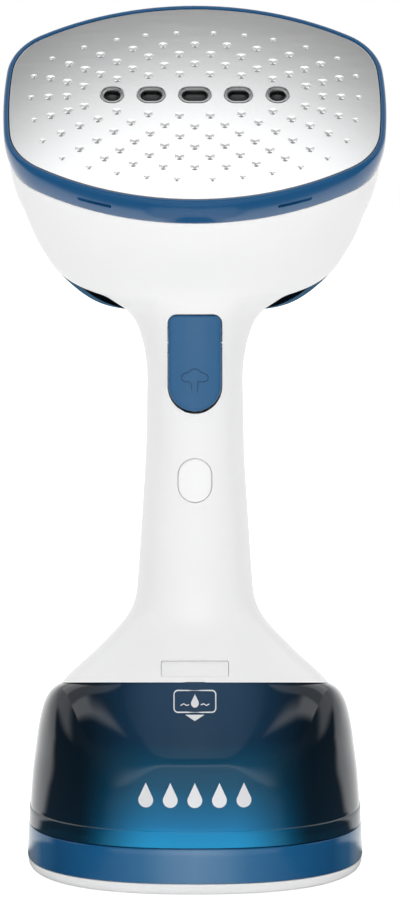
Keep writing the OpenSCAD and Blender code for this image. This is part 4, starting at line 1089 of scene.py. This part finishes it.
floor = plane("floor", (0, 0, 0), 60, 60)
fm = bpy.data.materials.new("floor"); fm.use_nodes = True
FN, FL = fm.node_tree.nodes, fm.node_tree.links
fb = FN["Principled BSDF"]; fo = FN["Material Output"]
fb.inputs["Base Color"].default_value = (0.80, 0.80, 0.80, 1); fb.inputs["Roughness"].default_value = 0.9; fb.inputs["Specular IOR Level"].default_value = 0.1
fb.inputs["Emission Color"].default_value = (1, 1, 1, 1)
flp = FN.new("ShaderNodeLightPath")
FL.new(math_node(FN, FL, 'MULTIPLY_ADD', flp.outputs["Is Camera Ray"], 0.46, 0.18), fb.inputs["Emission Strength"])
ftc = FN.new("ShaderNodeTexCoord"); fs = FN.new("ShaderNodeSeparateXYZ"); FL.new(ftc.outputs["Object"], fs.inputs[0])
fe = FN.new("ShaderNodeEmission"); FL.new(ramp_node(FN, FL, azimuth_share(FN, FL, fs.outputs[0], fs.outputs[1]), AZ0), fe.inputs[0]); fe.inputs[1].default_value = 2.0
fx = FN.new("ShaderNodeMixShader"); FL.new(flp.outputs["Is Glossy Ray"], fx.inputs[0]); FL.new(fb.outputs[0], fx.inputs[1]); FL.new(fe.outputs[0], fx.inputs[2]); FL.new(fx.outputs[0], fo.inputs[0])
floor.data.materials.append(fm)

# graded reflector over the head, seen only in reflections
card = plane("reflector_top", (0, 0.0, 0.65), 1.6, 1.6)
cm = bpy.data.materials.new("reflector"); cm.use_nodes = True
CN, CL = cm.node_tree.nodes, cm.node_tree.links
CN.remove(CN["Principled BSDF"]); co = CN["Material Output"]
ctc = CN.new("ShaderNodeTexCoord"); cs = CN.new("ShaderNodeSeparateXYZ"); CL.new(ctc.outputs["Object"], cs.inputs[0])
cx, cy = cs.outputs[0], cs.outputs[1]
dx = math_node(CN, CL, 'DIVIDE', cx, 0.115); dy = math_node(CN, CL, 'DIVIDE', math_node(CN, CL, 'ADD', cy, 0.175), 0.105)
dd = math_node(CN, CL, 'SQRT', math_node(CN, CL, 'ADD', math_node(CN, CL, 'MULTIPLY', dx, dx), math_node(CN, CL, 'MULTIPLY', dy, dy)))
pl = ramp_node(CN, CL, math_node(CN, CL, 'MULTIPLY', dd, 0.5), [(0.0, 0.92), (0.38, 0.88), (0.45, 0.68), (0.53, 0.34), (0.63, 0.15), (0.78, 0.14), (1.0, 0.42)])
# the zone that the sloping tank face sees
fa = ramp_node(CN, CL, math_node(CN, CL, 'MULTIPLY', math_node(CN, CL, 'ABSOLUTE', cx), 1.25), [(0.0, 0.28), (0.1, 0.20), (0.24, 0.04), (0.42, 0.05), (0.58, 0.95), (1.0, 1.0)])
k1 = CN.new("ShaderNodeMapRange"); k1.interpolation_type = 'SMOOTHSTEP'; k1.inputs[1].default_value = -0.30; k1.inputs[2].default_value = -0.24; CL.new(cy, k1.inputs[0])
c1 = CN.new("ShaderNodeMix"); c1.data_type = 'RGBA'; CL.new(k1.outputs[0], c1.inputs[0]); CL.new(fa, c1.inputs[6]); CL.new(pl, c1.inputs[7])
k2 = CN.new("ShaderNodeMapRange"); k2.interpolation_type = 'SMOOTHSTEP'; k2.inputs[1].default_value = -0.52; k2.inputs[2].default_value = -0.43; CL.new(cy, k2.inputs[0])
c2 = CN.new("ShaderNodeMix"); c2.data_type = 'RGBA'; CL.new(k2.outputs[0], c2.inputs[0]); c2.inputs[6].default_value = (0.03, 0.03, 0.03, 1); CL.new(c1.outputs[2], c2.inputs[7])
k3 = CN.new("ShaderNodeMapRange"); k3.interpolation_type = 'SMOOTHSTEP'; k3.inputs[1].default_value = 0.03; k3.inputs[2].default_value = 0.10; CL.new(cy, k3.inputs[0])
c3 = CN.new("ShaderNodeMix"); c3.data_type = 'RGBA'; CL.new(k3.outputs[0], c3.inputs[0]); CL.new(c2.outputs[2], c3.inputs[6]); c3.inputs[7].default_value = (0.85, 0.85, 0.85, 1)
ce_ = CN.new("ShaderNodeEmission"); CL.new(c3.outputs[2], ce_.inputs[0]); ce_.inputs[1].default_value = 2.0
CL.new(ce_.outputs[0], co.inputs[0])
card.data.materials.append(cm)
card.visible_camera = False; card.visible_diffuse = False; card.visible_shadow = False; card.visible_transmission = False


def area(name, loc, target, sx, sy, radiance, glossy=True, color=(1, 1, 1)):
    l = bpy.data.lights.new(name, 'AREA'); l.shape = 'RECTANGLE'; l.size = sx; l.size_y = sy; l.energy = radiance * math.pi * sx * sy; l.color = color
    ob = bpy.data.objects.new(name, l); ob.location = loc
    d = Vector(target) - Vector(loc)
    ob.rotation_euler = d.to_track_quat('-Z', 'Y').to_euler()
    ob.visible_camera = False
    ob.visible_glossy = glossy; ob.visible_transmission = glossy
    COL.objects.link(ob)
    return ob


# soft fill that shades the plastics but makes no highlight of its own
area("fill_front", (0, -1.5, 0.40), (0, 0, 0.15), 0.6, 0.6, 8.0, glossy=False)
area("fill_high", (0, -1.0, 1.4), (0, 0, 0.1), 0.8, 0.6, 0.9, glossy=False)
area("fill_left", (-1.3, -0.8, 0.4), (0, 0, 0.15), 0.6, 1.0, 0.04, glossy=False)
area("fill_right", (1.3, -0.8, 0.4), (0, 0, 0.15), 0.6, 1.0, 0.04, glossy=False)

w = scene.world or bpy.data.worlds.new("world")
scene.world = w; w.use_nodes = True
nt = w.node_tree; nt.nodes.clear()
WN, WL = nt.nodes, nt.links


tcw = WN.new("ShaderNodeTexCoord"); sw = WN.new("ShaderNodeSeparateXYZ"); WL.new(tcw.outputs["Generated"], sw.inputs[0])
X, Y, Z = sw.outputs
az = azimuth_share(WN, WL, X, Y)
# eye level: bright behind, dark at the sides, bright in front; above it, bright at the sides instead
low0 = ramp_node(WN, WL, az, AZ0)
low1 = ramp_node(WN, WL, az, AZ)
k0 = WN.new("ShaderNodeMapRange"); k0.interpolation_type = 'SMOOTHSTEP'; k0.inputs[1].default_value = 0.07; k0.inputs[2].default_value = 0.17; WL.new(Z, k0.inputs[0])
m0 = WN.new("ShaderNodeMix"); m0.data_type = 'RGBA'; WL.new(k0.outputs[0], m0.inputs[0]); WL.new(low0, m0.inputs[6]); WL.new(low1, m0.inputs[7])
low = m0.outputs[2]
mid = ramp_node(WN, WL, az, [(0.0, 0.45), (0.30, 0.50), (0.44, 0.62), (0.60, 0.62), (0.72, 0.06), (1.0, 0.04)])
over = ramp_node(WN, WL, math_node(WN, WL, 'MULTIPLY_ADD', Y, 0.5, 0.5), [(0.0, 0.08), (0.30, 0.10), (0.36, 0.55), (0.44, 0.60), (0.52, 0.35), (0.62, 0.6), (1.0, 0.6)])
kk = WN.new("ShaderNodeMapRange"); kk.interpolation_type = 'SMOOTHSTEP'; kk.inputs[1].default_value = 0.20; kk.inputs[2].default_value = 0.38; WL.new(Z, kk.inputs[0])
m1 = WN.new("ShaderNodeMix"); m1.data_type = 'RGBA'; WL.new(kk.outputs[0], m1.inputs[0]); WL.new(low, m1.inputs[6]); WL.new(mid, m1.inputs[7])
low = m1.outputs[2]
up = ramp_node(WN, WL, Z, [(0.0, 0.0), (0.62, 0.0), (0.82, 1.0), (1.0, 1.0)])
mx = WN.new("ShaderNodeMix"); mx.data_type = 'RGBA'; WL.new(up, mx.inputs[0]); WL.new(low, mx.inputs[6]); WL.new(over, mx.inputs[7])
out = WN.new("ShaderNodeOutputWorld"); mixn = WN.new("ShaderNodeMixShader"); lp = WN.new("ShaderNodeLightPath")
b1 = WN.new("ShaderNodeBackground"); WL.new(mx.outputs[2], b1.inputs[0]); b1.inputs[1].default_value = 2.0
b2 = WN.new("ShaderNodeBackground"); b2.inputs[0].default_value = (1, 1, 1, 1); b2.inputs[1].default_value = 1.0
WL.new(lp.outputs["Is Camera Ray"], mixn.inputs[0]); WL.new(b1.outputs[0], mixn.inputs[1]); WL.new(b2.outputs[0], mixn.inputs[2]); WL.new(mixn.outputs[0], out.inputs[0])

cd = bpy.data.cameras.new("camera"); cam = bpy.data.objects.new("camera", cd); COL.objects.link(cam)
ce = math.radians(5.0)
cam.location = (0.0018, -math.cos(ce), 0.138 + math.sin(ce)); cam.rotation_euler = (math.pi / 2 - ce, 0, 0)
cd.sensor_fit = 'VERTICAL'; cd.sensor_height = 24.0; cd.lens = 24.0 * 3030 / 900
cd.clip_end = 100
scene.camera = cam
scene.view_settings.view_transform = 'Standard'
scene.view_settings.look = 'None'
